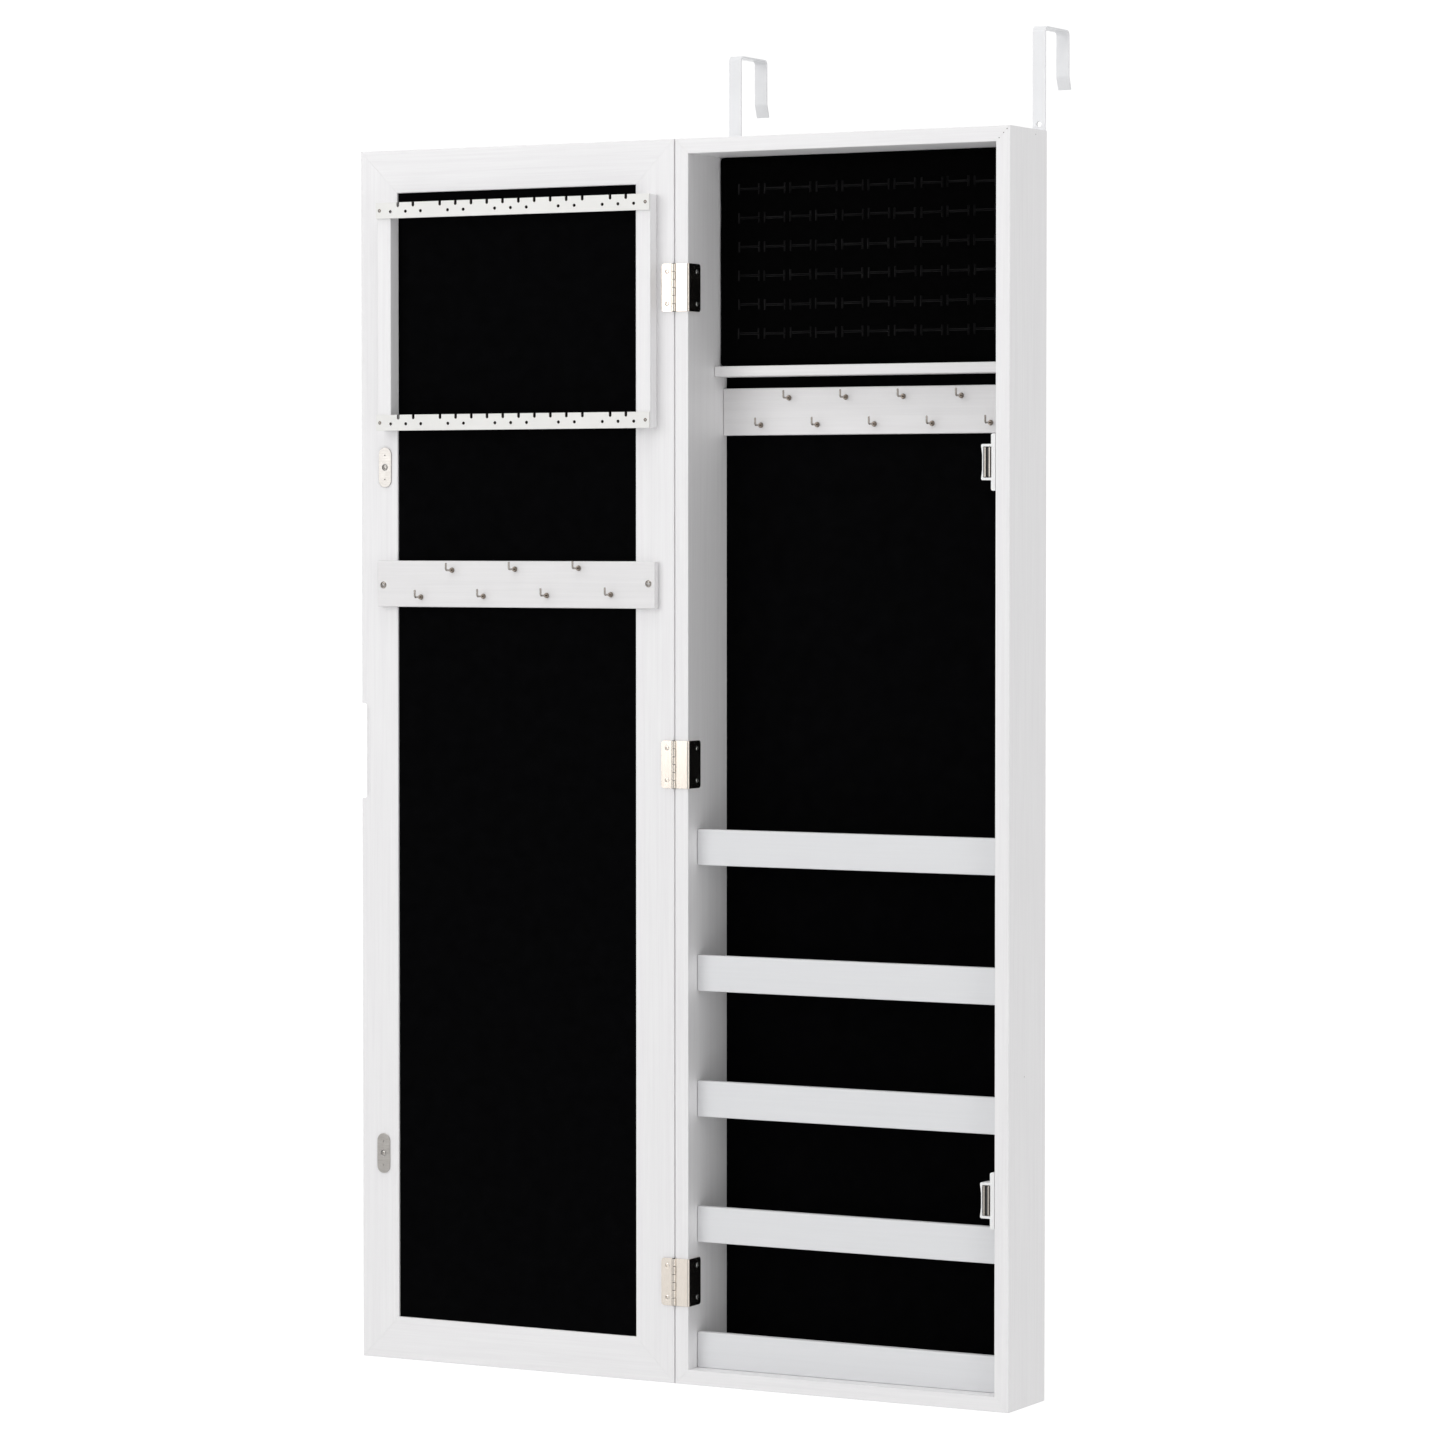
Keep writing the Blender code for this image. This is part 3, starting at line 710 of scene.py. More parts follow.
@dataclass(frozen=True)
class Plating:
    """Plated or bare metal, lightly brushed."""

    name: str
    run: Run
    bright: Colour
    dull: Colour
    smooth: float
    rough: float
    relief: float = 0.15

    def build(self) -> bpy.types.Material:
        """Make the material."""
        palette = Palette(self.name)
        brushing = palette.effect(streaks_group(), Stretch=self.run.value)
        patches = palette.effect(patches_group(), Scale=180.0)
        wear = palette.wiring.math("MULTIPLY", brushing["Tone"], patches["Mask"])
        palette.dress(
            Base_Color=palette.wiring.between(brushing["Tone"], self.dull, self.bright),
            Metallic=1.0,
            Roughness=palette.wiring.ranged(wear, self.smooth, self.rough),
        )
        palette.bump(brushing["Height"], self.relief, 0.00008)
        return palette.material


@dataclass(frozen=True)
class Coating:
    """An even, non-metallic skin: moulded plastic, powder coat, painted board or ceramic magnet."""

    name: str
    light: Colour
    dark: Colour
    smooth: float
    rough: float
    grit: float
    relief: float

    def build(self) -> bpy.types.Material:
        """Make the material."""
        palette = Palette(self.name)
        grit = palette.effect(grit_group(), Scale=self.grit)
        patches = palette.effect(patches_group(), Scale=28.0)
        tone = palette.wiring.math("MULTIPLY", grit["Tone"], patches["Mask"])
        palette.dress(
            Base_Color=palette.wiring.between(tone, self.light, self.dark),
            Roughness=palette.wiring.ranged(patches["Mask"], self.smooth, self.rough),
        )
        palette.bump(grit["Height"], 0.3, self.relief)
        return palette.material


@dataclass(frozen=True)
class Silvering:
    """Mirror glass, with faint smears."""

    name: str = "silvered_glass"

    def build(self) -> bpy.types.Material:
        """Make the material."""
        palette = Palette(self.name)
        patches = palette.effect(patches_group(), Scale=6.0)
        palette.dress(
            Base_Color=palette.wiring.between(patches["Mask"], (0.86, 0.885, 0.88), (0.90, 0.92, 0.915)),
            Metallic=1.0,
            Roughness=palette.wiring.ranged(patches["Mask"], 0.012, 0.03),
        )
        return palette.material


class Finishes:
    """Every finish on the armoire, each built once."""

    def __init__(self) -> None:
        """Build the materials."""
        self.across = Foil("foil_grain_across", Run.ACROSS).build()
        self.upright = Foil("foil_grain_upright", Run.UPRIGHT).build()
        self.board = Foil("board_foil", Run.ACROSS, (0.795, 0.785, 0.79), (0.755, 0.745, 0.75)).build()
        # Smooth foil for the trays, a darker copy of the white foil: painted shade for the recessed tray
        # fronts and floors.
        self.plain = Foil(
            "plain_foil", Run.ACROSS, (0.75, 0.755, 0.77), (0.73, 0.735, 0.75), 0.08
        ).build()
        self.felt = Felt(
            "black_felt", 1500.0, (0.0006, 0.0006, 0.0007), (0.0026, 0.0026, 0.0030), 0.0003, 0.001
        ).build()
        self.flock = Felt(
            "black_flock", 2600.0, (0.0004, 0.0004, 0.0004), (0.0016, 0.0016, 0.0017), 0.0004, 0.001
        ).build()
        # Paler flock for the slits' cut faces: a painted highlight, the sheen that the slits' lips catch.
        self.slit_lip_highlight = Felt(
            "crushed_flock", 1400.0, (0.004, 0.004, 0.0042), (0.034, 0.033, 0.034), 0.0002, 0.006
        ).build()
        self.hardboard = Coating(
            "painted_hardboard", (0.79, 0.79, 0.78), (0.76, 0.76, 0.75), 0.5, 0.62, 700.0, 0.0001
        ).build()
        # Bare hardboard darkened nearly to black: the board's own brown with painted shade, for the inside
        # of drilled holes and notches.
        self.bare_board_painted_shade = Coating(
            "bare_hardboard", (0.055, 0.038, 0.026), (0.035, 0.024, 0.016), 0.6, 0.75, 900.0, 0.0001
        ).build()
        self.glass = Silvering().build()
        self.nickel = Plating(
            "satin_nickel", Run.SATIN, (0.80, 0.74, 0.67), (0.74, 0.675, 0.605), 0.20, 0.27, 0.02
        ).build()
        self.strike = Plating(
            "strike_plate", Run.FLAT, (0.56, 0.535, 0.51), (0.44, 0.42, 0.395), 0.28, 0.38
        ).build()
        self.wire = Plating(
            "bright_nickel", Run.SATIN, (0.48, 0.445, 0.41), (0.30, 0.275, 0.25), 0.12, 0.24, 0.08
        ).build()
        self.bronze = Plating(
            "bronzed_collar", Run.FLAT, (0.30, 0.255, 0.215), (0.19, 0.16, 0.135), 0.24, 0.38
        ).build()
        self.zinc = Plating(
            "zinc_screw", Run.FLAT, (0.66, 0.66, 0.65), (0.48, 0.48, 0.47), 0.2, 0.34
        ).build()
        self.pole = Plating(
            "pole_plate", Run.FLAT, (0.52, 0.49, 0.45), (0.38, 0.35, 0.31), 0.3, 0.45
        ).build()
        self.magnet = Coating(
            "ceramic_magnet", (0.035, 0.034, 0.034), (0.02, 0.02, 0.02), 0.45, 0.6, 1800.0, 0.00005
        ).build()
        self.plastic = Coating(
            "moulded_plastic", (0.86, 0.86, 0.86), (0.83, 0.83, 0.83), 0.32, 0.42, 2400.0, 0.00003
        ).build()
        self.enamel = Coating(
            "powder_coat", (0.81, 0.815, 0.83), (0.77, 0.775, 0.79), 0.28, 0.38, 1300.0, 0.00006
        ).build()
        self.bar_enamel = Coating(
            "bar_enamel", (0.79, 0.785, 0.765), (0.76, 0.755, 0.735), 0.3, 0.4, 1600.0, 0.00004
        ).build()
        self.dark = Coating(
            "dark_pin", (0.05, 0.045, 0.04), (0.03, 0.03, 0.03), 0.5, 0.7, 2000.0, 0.00002
        ).build()


# ---- geometry nodes


class Repeater:
    """A Geometry Nodes tree, which puts what it repeats on an object's points."""

    def __init__(self, name: str, inputs: dict[str, str]) -> None:
        """Start a tree.

        Args:
            name: The tree's name.
            inputs: Socket types by input name, after the geometry.
        """
        self.tree = bpy.data.node_groups.new(name, "GeometryNodeTree")
        self.tree.is_modifier = True
        interface = self.tree.interface
        interface.new_socket(name="Geometry", in_out="INPUT", socket_type="NodeSocketGeometry")
        self.identifiers = {
            label: interface.new_socket(name=label, in_out="INPUT", socket_type=kind).identifier
            for label, kind in inputs.items()
        }
        interface.new_socket(name="Geometry", in_out="OUTPUT", socket_type="NodeSocketGeometry")
        self.wiring = Wiring(self.tree)
        self.entry = self.wiring.node("NodeGroupInput").outputs
        self.leave = self.wiring.node("NodeGroupOutput").inputs

    def end(self, instances: bpy.types.NodeSocket) -> None:
        """Realize the instances, dress them and send them out.

        Args:
            instances: The instances' socket.
        """
        wiring = self.wiring
        real = wiring.set(wiring.node("GeometryNodeRealizeInstances"), Geometry=instances)
        dressed = wiring.node("GeometryNodeSetMaterial")
        wiring.set(dressed, Geometry=real.outputs[0], Material=self.entry["Finish"])
        self.tree.links.new(dressed.outputs[0], self.leave[0])

    def run(self, name: str, spots: Sequence[Spot], **values: object) -> bpy.types.Object:
        """Make a plain mesh object of what the tree puts on some spots.

        Args:
            name: The new object's name.
            spots: Places, and the way out of the surface at each.
            values: The tree's inputs, named with underscores for spaces.

        Returns:
            The object.
        """
        mesh = bpy.data.meshes.new(name)
        mesh.from_pydata([tuple(place) for place, _ in spots], [], [])
        facing = mesh.attributes.new("facing", "FLOAT_VECTOR", "POINT")
        for item, (_, way) in zip(facing.data, spots):
            item.vector = way
        thing = bpy.data.objects.new(name, mesh)
        bpy.context.scene.collection.objects.link(thing)
        modifier = thing.modifiers.new("repeat", "NODES")
        modifier.node_group = self.tree
        for label, value in values.items():
            modifier[self.identifiers[label.replace("_", " ")]] = value
        bake_modifiers(thing)
        return thing


class ScatterTree(Repeater):
    """Puts a pattern object on each point, its +Z out of the surface, with a random turn and shift."""

    def __init__(self) -> None:
        """Build the tree."""
        number = "NodeSocketFloat"
        super().__init__(
            "scatter",
            {
                "Pattern": "NodeSocketObject",
                "Turn": number,
                "Shift": number,
                "Seed": "NodeSocketInt",
                "Finish": "NodeSocketMaterial",
            },
        )
        wiring = self.wiring
        entry = self.entry
        pattern = wiring.set(wiring.node("GeometryNodeObjectInfo"), Object=entry["Pattern"])
        drift = wiring.node("FunctionNodeRandomValue", data_type="FLOAT_VECTOR")
        wiring.set(drift, Min=(-1.0, 0.0, -1.0), Max=(1.0, 0.0, 1.0), Seed=entry["Seed"])
        shift = wiring.node("ShaderNodeVectorMath", operation="SCALE")
        wiring.set(shift, Vector=drift.outputs[0], Scale=entry["Shift"])
        moved = wiring.node("GeometryNodeSetPosition")
        wiring.set(moved, Geometry=entry["Geometry"], Offset=shift.outputs[0])
        facing = wiring.node("GeometryNodeInputNamedAttribute", data_type="FLOAT_VECTOR")
        wiring.set(facing, Name="facing")
        upright = wiring.node("FunctionNodeAlignRotationToVector", axis="Z")
        wiring.set(upright, Vector=facing.outputs["Attribute"])
        least = wiring.math("MULTIPLY", entry["Turn"], -1.0)
        angle = wiring.node("FunctionNodeRandomValue", data_type="FLOAT")
        wiring.set(angle, Min=least, Max=entry["Turn"], Seed=entry["Seed"])
        spin = wiring.node("FunctionNodeAxisAngleToRotation")
        wiring.set(spin, Axis=(0.0, 0.0, 1.0), Angle=next(s for s in angle.outputs if s.enabled))
        turned_out = wiring.node("FunctionNodeRotateRotation", rotation_space="LOCAL")
        wiring.set(turned_out, Rotation=upright.outputs[0], Rotate_By=spin.outputs[0])
        copies = wiring.node("GeometryNodeInstanceOnPoints")
        wiring.set(
            copies,
            Points=moved.outputs[0],
            Instance=pattern.outputs["Geometry"],
            Rotation=turned_out.outputs[0],
        )
        self.end(copies.outputs[0])


class HookTree(Repeater):
    """Builds an L-shaped screw hook on each point: a collar, a wire straight out to -Y, then up."""

    MARK = "collar"

    def __init__(self) -> None:
        """Build the tree."""
        number = "NodeSocketFloat"
        super().__init__(
            "screw_hooks",
            {
                "Reach": number,
                "Rise": number,
                "Bend": number,
                "Wire": number,
                "Collar": number,
                "Collar Depth": number,
                "Finish": "NodeSocketMaterial",
                "Collar Finish": "NodeSocketMaterial",
            },
        )
        wiring = self.wiring
        entry = self.entry
        forward = wiring.math("MULTIPLY", entry["Reach"], -1.0)
        elbow = wiring.set(wiring.node("ShaderNodeCombineXYZ"), Y=forward)
        tip = wiring.set(wiring.node("ShaderNodeCombineXYZ"), Y=forward, Z=entry["Rise"])
        line = wiring.set(wiring.node("GeometryNodeCurvePrimitiveLine"), End=tip.outputs[0])
        three = wiring.node("GeometryNodeResampleCurve")
        wiring.set(three, Curve=line.outputs[0], Count=3)
        index = wiring.node("GeometryNodeInputIndex")
        is_middle = wiring.node("FunctionNodeCompare", data_type="INT", operation="EQUAL")
        wiring.set(is_middle, A=index.outputs[0], B=1)
        bent = wiring.node("GeometryNodeSetPosition")
        wiring.set(
            bent, Geometry=three.outputs[0], Selection=is_middle.outputs[0], Position=elbow.outputs[0]
        )
        eased = wiring.node("GeometryNodeFilletCurve")
        if hasattr(eased, "mode"):
            eased.mode = "POLY"
        wiring.set(eased, Curve=bent.outputs[0], Count=7, Radius=entry["Bend"])
        section = wiring.node("GeometryNodeCurvePrimitiveCircle")
        wiring.set(section, Resolution=16, Radius=entry["Wire"])
        wire = wiring.node("GeometryNodeCurveToMesh")
        wiring.set(wire, Curve=eased.outputs[0], Profile_Curve=section.outputs[0], Fill_Caps=True)
        end = wiring.node("GeometryNodeMeshUVSphere")
        wiring.set(end, Segments=16, Rings=8, Radius=entry["Wire"])
        end_placed = wiring.node("GeometryNodeTransform")
        wiring.set(end_placed, Geometry=end.outputs[0], Translation=tip.outputs[0])
        metal = wiring.node("GeometryNodeJoinGeometry")
        self.tree.links.new(wire.outputs[0], metal.inputs[0])
        self.tree.links.new(end_placed.outputs[0], metal.inputs[0])
        inner = wiring.math("MULTIPLY", entry["Collar"], 0.72)
        collar = wiring.node("GeometryNodeMeshCone")
        wiring.set(
            collar,
            Vertices=28,
            Side_Segments=1,
            Radius_Top=inner,
            Radius_Bottom=entry["Collar"],
            Depth=entry["Collar Depth"],
        )
        collar_placed = wiring.node("GeometryNodeTransform")
        wiring.set(collar_placed, Geometry=collar.outputs[0], Rotation=(math.pi / 2, 0.0, 0.0))
        marked = wiring.node("GeometryNodeStoreNamedAttribute", data_type="FLOAT", domain="FACE")
        wiring.set(marked, Geometry=collar_placed.outputs[0], Name=self.MARK, Value=1.0)
        hook = wiring.node("GeometryNodeJoinGeometry")
        self.tree.links.new(metal.outputs[0], hook.inputs[0])
        self.tree.links.new(marked.outputs[0], hook.inputs[0])
        copies = wiring.node("GeometryNodeInstanceOnPoints")
        wiring.set(copies, Points=entry["Geometry"], Instance=hook.outputs[0])
        real = wiring.set(wiring.node("GeometryNodeRealizeInstances"), Geometry=copies.outputs[0])
        dressed = wiring.node("GeometryNodeSetMaterial")
        wiring.set(dressed, Geometry=real.outputs[0], Material=entry["Finish"])
        mark = wiring.node("GeometryNodeInputNamedAttribute", data_type="FLOAT")
        wiring.set(mark, Name=self.MARK)
        is_collar = wiring.node("FunctionNodeCompare", data_type="FLOAT", operation="GREATER_THAN")
        wiring.set(is_collar, A=mark.outputs[0], B=0.5)
        collars = wiring.node("GeometryNodeSetMaterial")
        wiring.set(
            collars,
            Geometry=dressed.outputs[0],
            Selection=is_collar.outputs[0],
            Material=entry["Collar Finish"],
        )
        self.tree.links.new(collars.outputs[0], self.leave[0])


@dataclass(frozen=True)
class CrossHead:
    """A screw head with a cross recess, its seat at the origin and +Z out of the surface."""

    radius: float
    height: float
    sunk: float = 0.0006

    def pattern(self, name: str) -> bpy.types.Object:
        """Turn the head and cut its recess.

        Args:
            name: The pattern object's name.

        Returns:
            The pattern.
        """
        reach = self.radius
        crown = self.height
        profile = [
            (0.0, crown),
            (reach * 0.45, crown * 0.94),
            (reach * 0.78, crown * 0.66),
            (reach * 0.95, crown * 0.25),
            (reach, -crown * 0.1),
            (reach * 0.9, -self.sunk),
            (0.0, -self.sunk),
        ]
        head = as_object(name, turned(profile))
        arm = reach * 0.62
        wide = reach * 0.17
        floor = crown - reach * 0.42
        lowest = max(floor, 0.0002 - self.sunk)
        for half_x, half_y in ((arm, wide), (wide, arm)):
            box = Box(Vector((-half_x, -half_y, lowest)), Vector((half_x, half_y, crown + OVERCUT)))
            combine(head, as_object("recess", cuboid(box)))
        soften(head, 0.0, bevel=False)
        return head


class Joiner:
    """What several sub-assemblies are made with: the finishes and the repeating trees."""

    hook_wire = 0.0009
    hook_bend = 0.0018
    collar_depth = 0.0022

    def __init__(self) -> None:
        """Build the finishes and the trees."""
        self.finishes = Finishes()
        self.scatter = ScatterTree()
        self.hooks = HookTree()

    def screws(
        self,
        name: str,
        head: CrossHead,
        spots: Sequence[Spot],
        body: Body,
        slot: Slot,
        finish: bpy.types.Material,
    ) -> None:
        """Drive a screw at each spot.

        Args:
            name: The piece's name.
            head: The screws' head.
            spots: Where they stand, and the way out of the surface.
            body: What they ride on.
            slot: The slot of their finish; not used.
            finish: Their material.
        """
        pattern = head.pattern(f"{name}_pattern")
        piece = self.scatter.run(
            name, spots, Pattern=pattern, Turn=1.2, Shift=0.0, Seed=len(spots), Finish=finish
        )
        bpy.data.objects.remove(pattern, do_unlink=True)
        deliver(piece, body, [finish])

    def hook_rows(self, name: str, prefix: str, count: int, body: Body) -> None:
        """Build the screw hooks of one board where the frame has them.

        Args:
            name: The piece's name.
            prefix: The CAD nodes' name before their numbers.
            count: How many there are.
            body: What they ride on.
        """
        nodes = [f"{prefix}_{number}" for number in range(1, count + 1)]
        size = Box.of(nodes[0]).size
        collar = size.x / 2
        spots = []
        for node in nodes:
            box = Box.of(node)
            spots.append((Vector((box.middle.x, box.high.y, box.low.z + collar)), FORWARD))
        piece = self.hooks.run(
            name,
            spots,
            Reach=size.y - self.hook_wire,
            Rise=size.z - collar,
            Bend=self.hook_bend,
            Wire=self.hook_wire,
            Collar=collar,
            Collar_Depth=self.collar_depth,
            Finish=self.finishes.wire,
            Collar_Finish=self.finishes.bronze,
        )
        piece.data.shade_smooth()
        piece.data.set_sharp_from_angle(angle=math.radians(35.0))
        deliver(piece, body, [], nodes)


def plank(
    name: str,
    node: str,
    body: Body,
    finish: bpy.types.Material,
    radius: float = 0.0008,
) -> bpy.types.Object:
    """A square-cut board with eased edges, in place of a CAD node of its size.

    Args:
        name: The piece's name.
        node: The CAD node.
        body: What it rides on.
        finish: Its material.
        radius: How far its edges are eased.

    Returns:
        The board.
    """
    board = as_object(name, cuboid(Box.of(node)))
    soften(board, radius)
    return deliver(board, body, [finish], [node])


@dataclass
class MitredFrame:
    """Four mitred sides round a rectangle, with grain along each."""

    names: tuple[str, str, str, str]  # left, top, right, bottom
    nodes: tuple[str, str, str, str]
    section: Sequence[Corner]  # distance in from the outer edge, depth and rounding
    body: Body

    def side(self, turn: int) -> bpy.types.Object:
        """One side, turned into place by quarter turns.

        Args:
            turn: 0 for left, 1 for top, 2 for right and 3 for bottom.

        Returns:
            The side, not yet shaded or delivered.
        """
        left = Box.of(self.nodes[0])
        right = Box.of(self.nodes[2])
        across = right.high.x - left.low.x
        up = left.size.z
        run, offset = (up, across / 2) if turn % 2 == 0 else (across, up / 2)
        shape = prism(outline(self.section), -1.0, 1.0, "Z")
        for vert in shape.verts:
            vert.co.z = math.copysign(run / 2 - vert.co.x - HAIRLINE, vert.co.z)
            vert.co.x -= offset
        centre = Vector(((right.high.x + left.low.x) / 2, 0.0, left.middle.z))
        placed = Matrix.Translation(centre) @ Matrix.Rotation(turn * math.pi / 2, 4, "Y")
        bmesh.ops.transform(shape, matrix=placed, verts=shape.verts)
        return as_object(self.names[turn], shape)

    def build(self, finishes: Finishes, cuts: dict[int, Callable[[bpy.types.Object], None]]) -> None:
        """Make, shade and deliver the four sides.

        Args:
            finishes: The finishes.
            cuts: What else is done to a side, by its quarter turn.
        """
        for turn, node in enumerate(self.nodes):
            side = self.side(turn)
            if turn in cuts:
                cuts[turn](side)
            soften(side, 0.0, bevel=False)
            finish = finishes.upright if turn % 2 == 0 else finishes.across
            deliver(side, self.body, [finish], [node])


def ease_edges(thing: bpy.types.Object, chosen: Callable[[Vector], bool], radius: float) -> None:
    """Round a piece's sharp edges where both ends pass a test.

    Args:
        thing: The piece.
        chosen: The test, which takes a place.
        radius: The width that each edge loses.
    """
    shape = bmesh.new()
    shape.from_mesh(thing.data)
    sharp = [
        edge
        for edge in shape.edges
        if all(chosen(vert.co) for vert in edge.verts) and edge.calc_face_angle(0.0) > math.radians(40)
    ]
    bmesh.ops.bevel(
        shape, geom=sharp, offset=radius, segments=3, profile=0.5, affect="EDGES", clamp_overlap=True
    )
    shape.to_mesh(thing.data)
    shape.free()


@dataclass
class Casing:
    """The shallow box: boards, felt-covered back, shelf, necklace board and trays."""

    joiner: Joiner
    rebate: float = 0.006
    tray_count: int = 5

    def boards(self) -> None:
        """Make the four boards, with the hinge knuckles' grooves in the left one."""
        board = Box.of("casing_top").size.z
        floor = Box.of("back_panel").low.y - FIT
        section = [
            (0.0, FRONT, 0.0008),
            (board, FRONT, 0.0006),
            (board, floor, 0.0),
            (board - self.rebate, floor, 0.0),
            (board - self.rebate, 0.0, 0.0003),
            (0.0, 0.0, 0.0008),
        ]
        frame_sides = MitredFrame(
            ("case_left_board", "case_top_board", "case_right_board", "case_bottom_board"),
            ("casing_left_side", "casing_top", "casing_right_side", "casing_bottom"),
            section,
            Body.CASING,
        )
        frame_sides.build(self.joiner.finishes, {0: Hinges.groove})

    def back(self) -> None:
        """Make the back panel: felt inside, painted hardboard behind."""
        panel = as_object("felt_back", cuboid(Box.of("back_panel")))
        soften(panel, 0.0002, 2)
        paint_faces(panel, 1, lambda face: face.normal.y > 0.5)
        finishes = self.joiner.finishes
        deliver(panel, Body.CASING, [finishes.felt, finishes.hardboard], ["back_panel"])

    def fittings(self) -> None:
        """Make the shelf, the necklace board and its hooks."""
        board = self.joiner.finishes.board
        plank("ring_shelf_board", "ring_shelf", Body.CASING, board, 0.0010)
        plank("necklace_rail", "necklace_board", Body.CASING, board, 0.0009)
        self.joiner.hook_rows("necklace_hooks", "necklace_hook", 9, Body.CASING)

    def trays(self) -> None:
        """Make each tray's rail, and the floor behind all but the lowest."""
        # The trays get the darker smooth foil, which paints the shade in their recesses.
        plain = self.joiner.finishes.plain
        for number in range(1, self.tray_count + 1):
            plank(f"tray_front_{number}", f"tray_rail_{number}", Body.CASING, plain, 0.0010)
            if number < self.tray_count:
                plank(f"tray_base_{number}", f"tray_floor_{number}", Body.CASING, plain, 0.0004)

    def pins(self) -> None:
        """Drive the small pins at the top right mitre and in the right side."""
        right = Box.of("casing_right_side").high
        board = Box.of("casing_top").size.z
        corner = Vector((right.x, FRONT, right.z))
        inward = Vector((-board, 0.0, -board))
        spots = [(corner + inward * share, FORWARD) for share in (0.22, 0.46, 0.78)]
        side = Vector((1, 0, 0))
        wall = Vector((right.x, 0.0, 0.0))
        depth = -FRONT
        spots += [
            (wall + Vector((0.0, -0.58 * depth, -0.24 * 2 * right.z)), side),
            (wall + Vector((0.0, -0.31 * depth, right.z - 0.0045)), side),
        ]
        profile = [(0.0, 0.00008), (0.0004, 0.00005), (0.00055, -0.0001), (0.0, -0.0001)]
        pattern = as_object("pin_pattern", turned(profile, 12))
        dark = self.joiner.finishes.dark
        pins = self.joiner.scatter.run(
            "mitre_pins", spots, Pattern=pattern, Turn=0.0, Shift=0.0, Seed=1, Finish=dark
        )
        bpy.data.objects.remove(pattern, do_unlink=True)
        deliver(pins, Body.CASING, [dark])

    def build(self) -> None:
        """Build the casing in order."""
        self.boards()
        self.back()
        self.fittings()
        self.trays()
        self.pins()


@dataclass
class RingPad:
    """The flocked foam pad over the shelf, with rows of H-shaped slits that hold rings."""

    joiner: Joiner
    rows: int = 6
    columns: int = 10
    row_pitch: float = 0.0257
    column_pitch: float = 0.0258
    slit: float = 0.020
    end_cut: float = 0.0095
    slide: float = -0.0032  # the pattern's offset along X
    mouth: float = 0.00065  # half the slit's width at the surface
    throat: float = 0.0002
    lip: float = 0.0008
    depth: float = 0.0065
    crown: float = 0.0012
    cell: float = 0.0036
    slack: float = 0.0004  # between the blank and the walls
    frames: int = 20

    def blank(self) -> bpy.types.Object:
        """The foam block, a little smaller than the space that it fills."""
        box = Box.of("ring_cushion")
        low = box.low + Vector((self.slack, 0.0010, self.slack))
        high = box.high - Vector((self.slack, 0.0, self.slack))
        shape = cuboid(Box(low, high))
        for axis in range(3):
            normal = Vector([float(axis == other) for other in range(3)])
            span = high[axis] - low[axis]
            count = round(span / self.cell)
            for step in range(1, count):
                cut = low + normal * (span * step / count)
                parts = shape.verts[:] + shape.edges[:] + shape.faces[:]
                bmesh.ops.bisect_plane(shape, geom=parts, dist=MERGE, plane_co=cut, plane_no=normal)
        return as_object("ring_pad", shape)

    def swell(self, pad: bpy.types.Object, start: Sequence[Vector]) -> None:
        """Fill the pad by cloth simulation, and keep each point near where it was.

        Args:
            pad: The even block.
            start: Where its points were.
        """
        cloth = pad.modifiers.new("swell", "CLOTH")
        cloth.settings.use_pressure = True
        cloth.settings.uniform_pressure_force = 4.0
        cloth.settings.effector_weights.gravity = 0.0
        cloth.point_cache.frame_start = 1
        cloth.point_cache.frame_end = self.frames
        scene = bpy.context.scene
        for step in range(1, self.frames + 1):
            scene.frame_set(step)
        bake_modifiers(pad)
        scene.frame_set(1)
        for vert, origin in zip(pad.data.vertices, start):
            move = vert.co - origin
            if move.length > self.crown * 2:
                vert.co = origin + move.normalized() * self.crown * 2

    def fit(self, pad: bpy.types.Object, start: Sequence[Vector]) -> None:
        """Press the pad into its space: flat against the walls and back, crowned in front.

        Args:
            pad: The swollen pad.
            start: Where its points were before it swelled.
        """
        box = Box.of("ring_cushion")
        front = box.low.y - self.crown * 0.5
        for vert, origin in zip(pad.data.vertices, start):
            vert.co.y = min(max(vert.co.y, front), box.high.y)
            for axis in (0, 2):
                if origin[axis] - box.low[axis] < 2 * self.slack:
                    vert.co[axis] = box.low[axis]
                elif box.high[axis] - origin[axis] < 2 * self.slack:
                    vert.co[axis] = box.high[axis]

    def slit_cutter(self) -> bpy.types.Object:
        """One H: a slit with a cut across each end, each opening in a small lip. +Z is out."""
        rise = 3 * self.lip
        flare = self.throat + (self.mouth - self.throat) * (1 + rise / self.lip)
        section = [
            (-self.throat, -self.depth),
            (self.throat, -self.depth),
            (self.throat, -self.lip),
            (flare, rise),
            (-flare, rise),
            (-self.throat, -self.lip),
        ]
        cutter = as_object("slit_pattern", prism(section, -self.slit / 2, self.slit / 2, "X"))
        for side in (-1, 1):
            moved = [(x + side * self.slit / 2, z) for x, z in section]
            end = prism(moved, -self.end_cut / 2, self.end_cut / 2, "Y")
            combine(cutter, as_object("end_cut", end), "UNION")
        return cutter

    def slits(self, pad: bpy.types.Object) -> None:
        """Cut every slit.

        Args:
            pad: The finished form.
        """
        box = Box.of("ring_cushion")
        surface = box.low.y
        spots = []
        for row in range(self.rows):
            for column in range(self.columns):
                x = (column - (self.columns - 1) / 2) * self.column_pitch + self.slide
                z = box.middle.z + ((self.rows - 1) / 2 - row) * self.row_pitch
                spots.append((Vector((x, surface, z)), FORWARD))
        pattern = self.slit_cutter()
        # The slits' cut faces take the paler flock, a painted highlight on their lips.
        lip = self.joiner.finishes.slit_lip_highlight
        cutters = self.joiner.scatter.run(
            "slits", spots, Pattern=pattern, Turn=0.012, Shift=0.0004, Seed=11, Finish=lip
        )
        bpy.data.objects.remove(pattern, do_unlink=True)
        combine(pad, cutters, materials="TRANSFER")

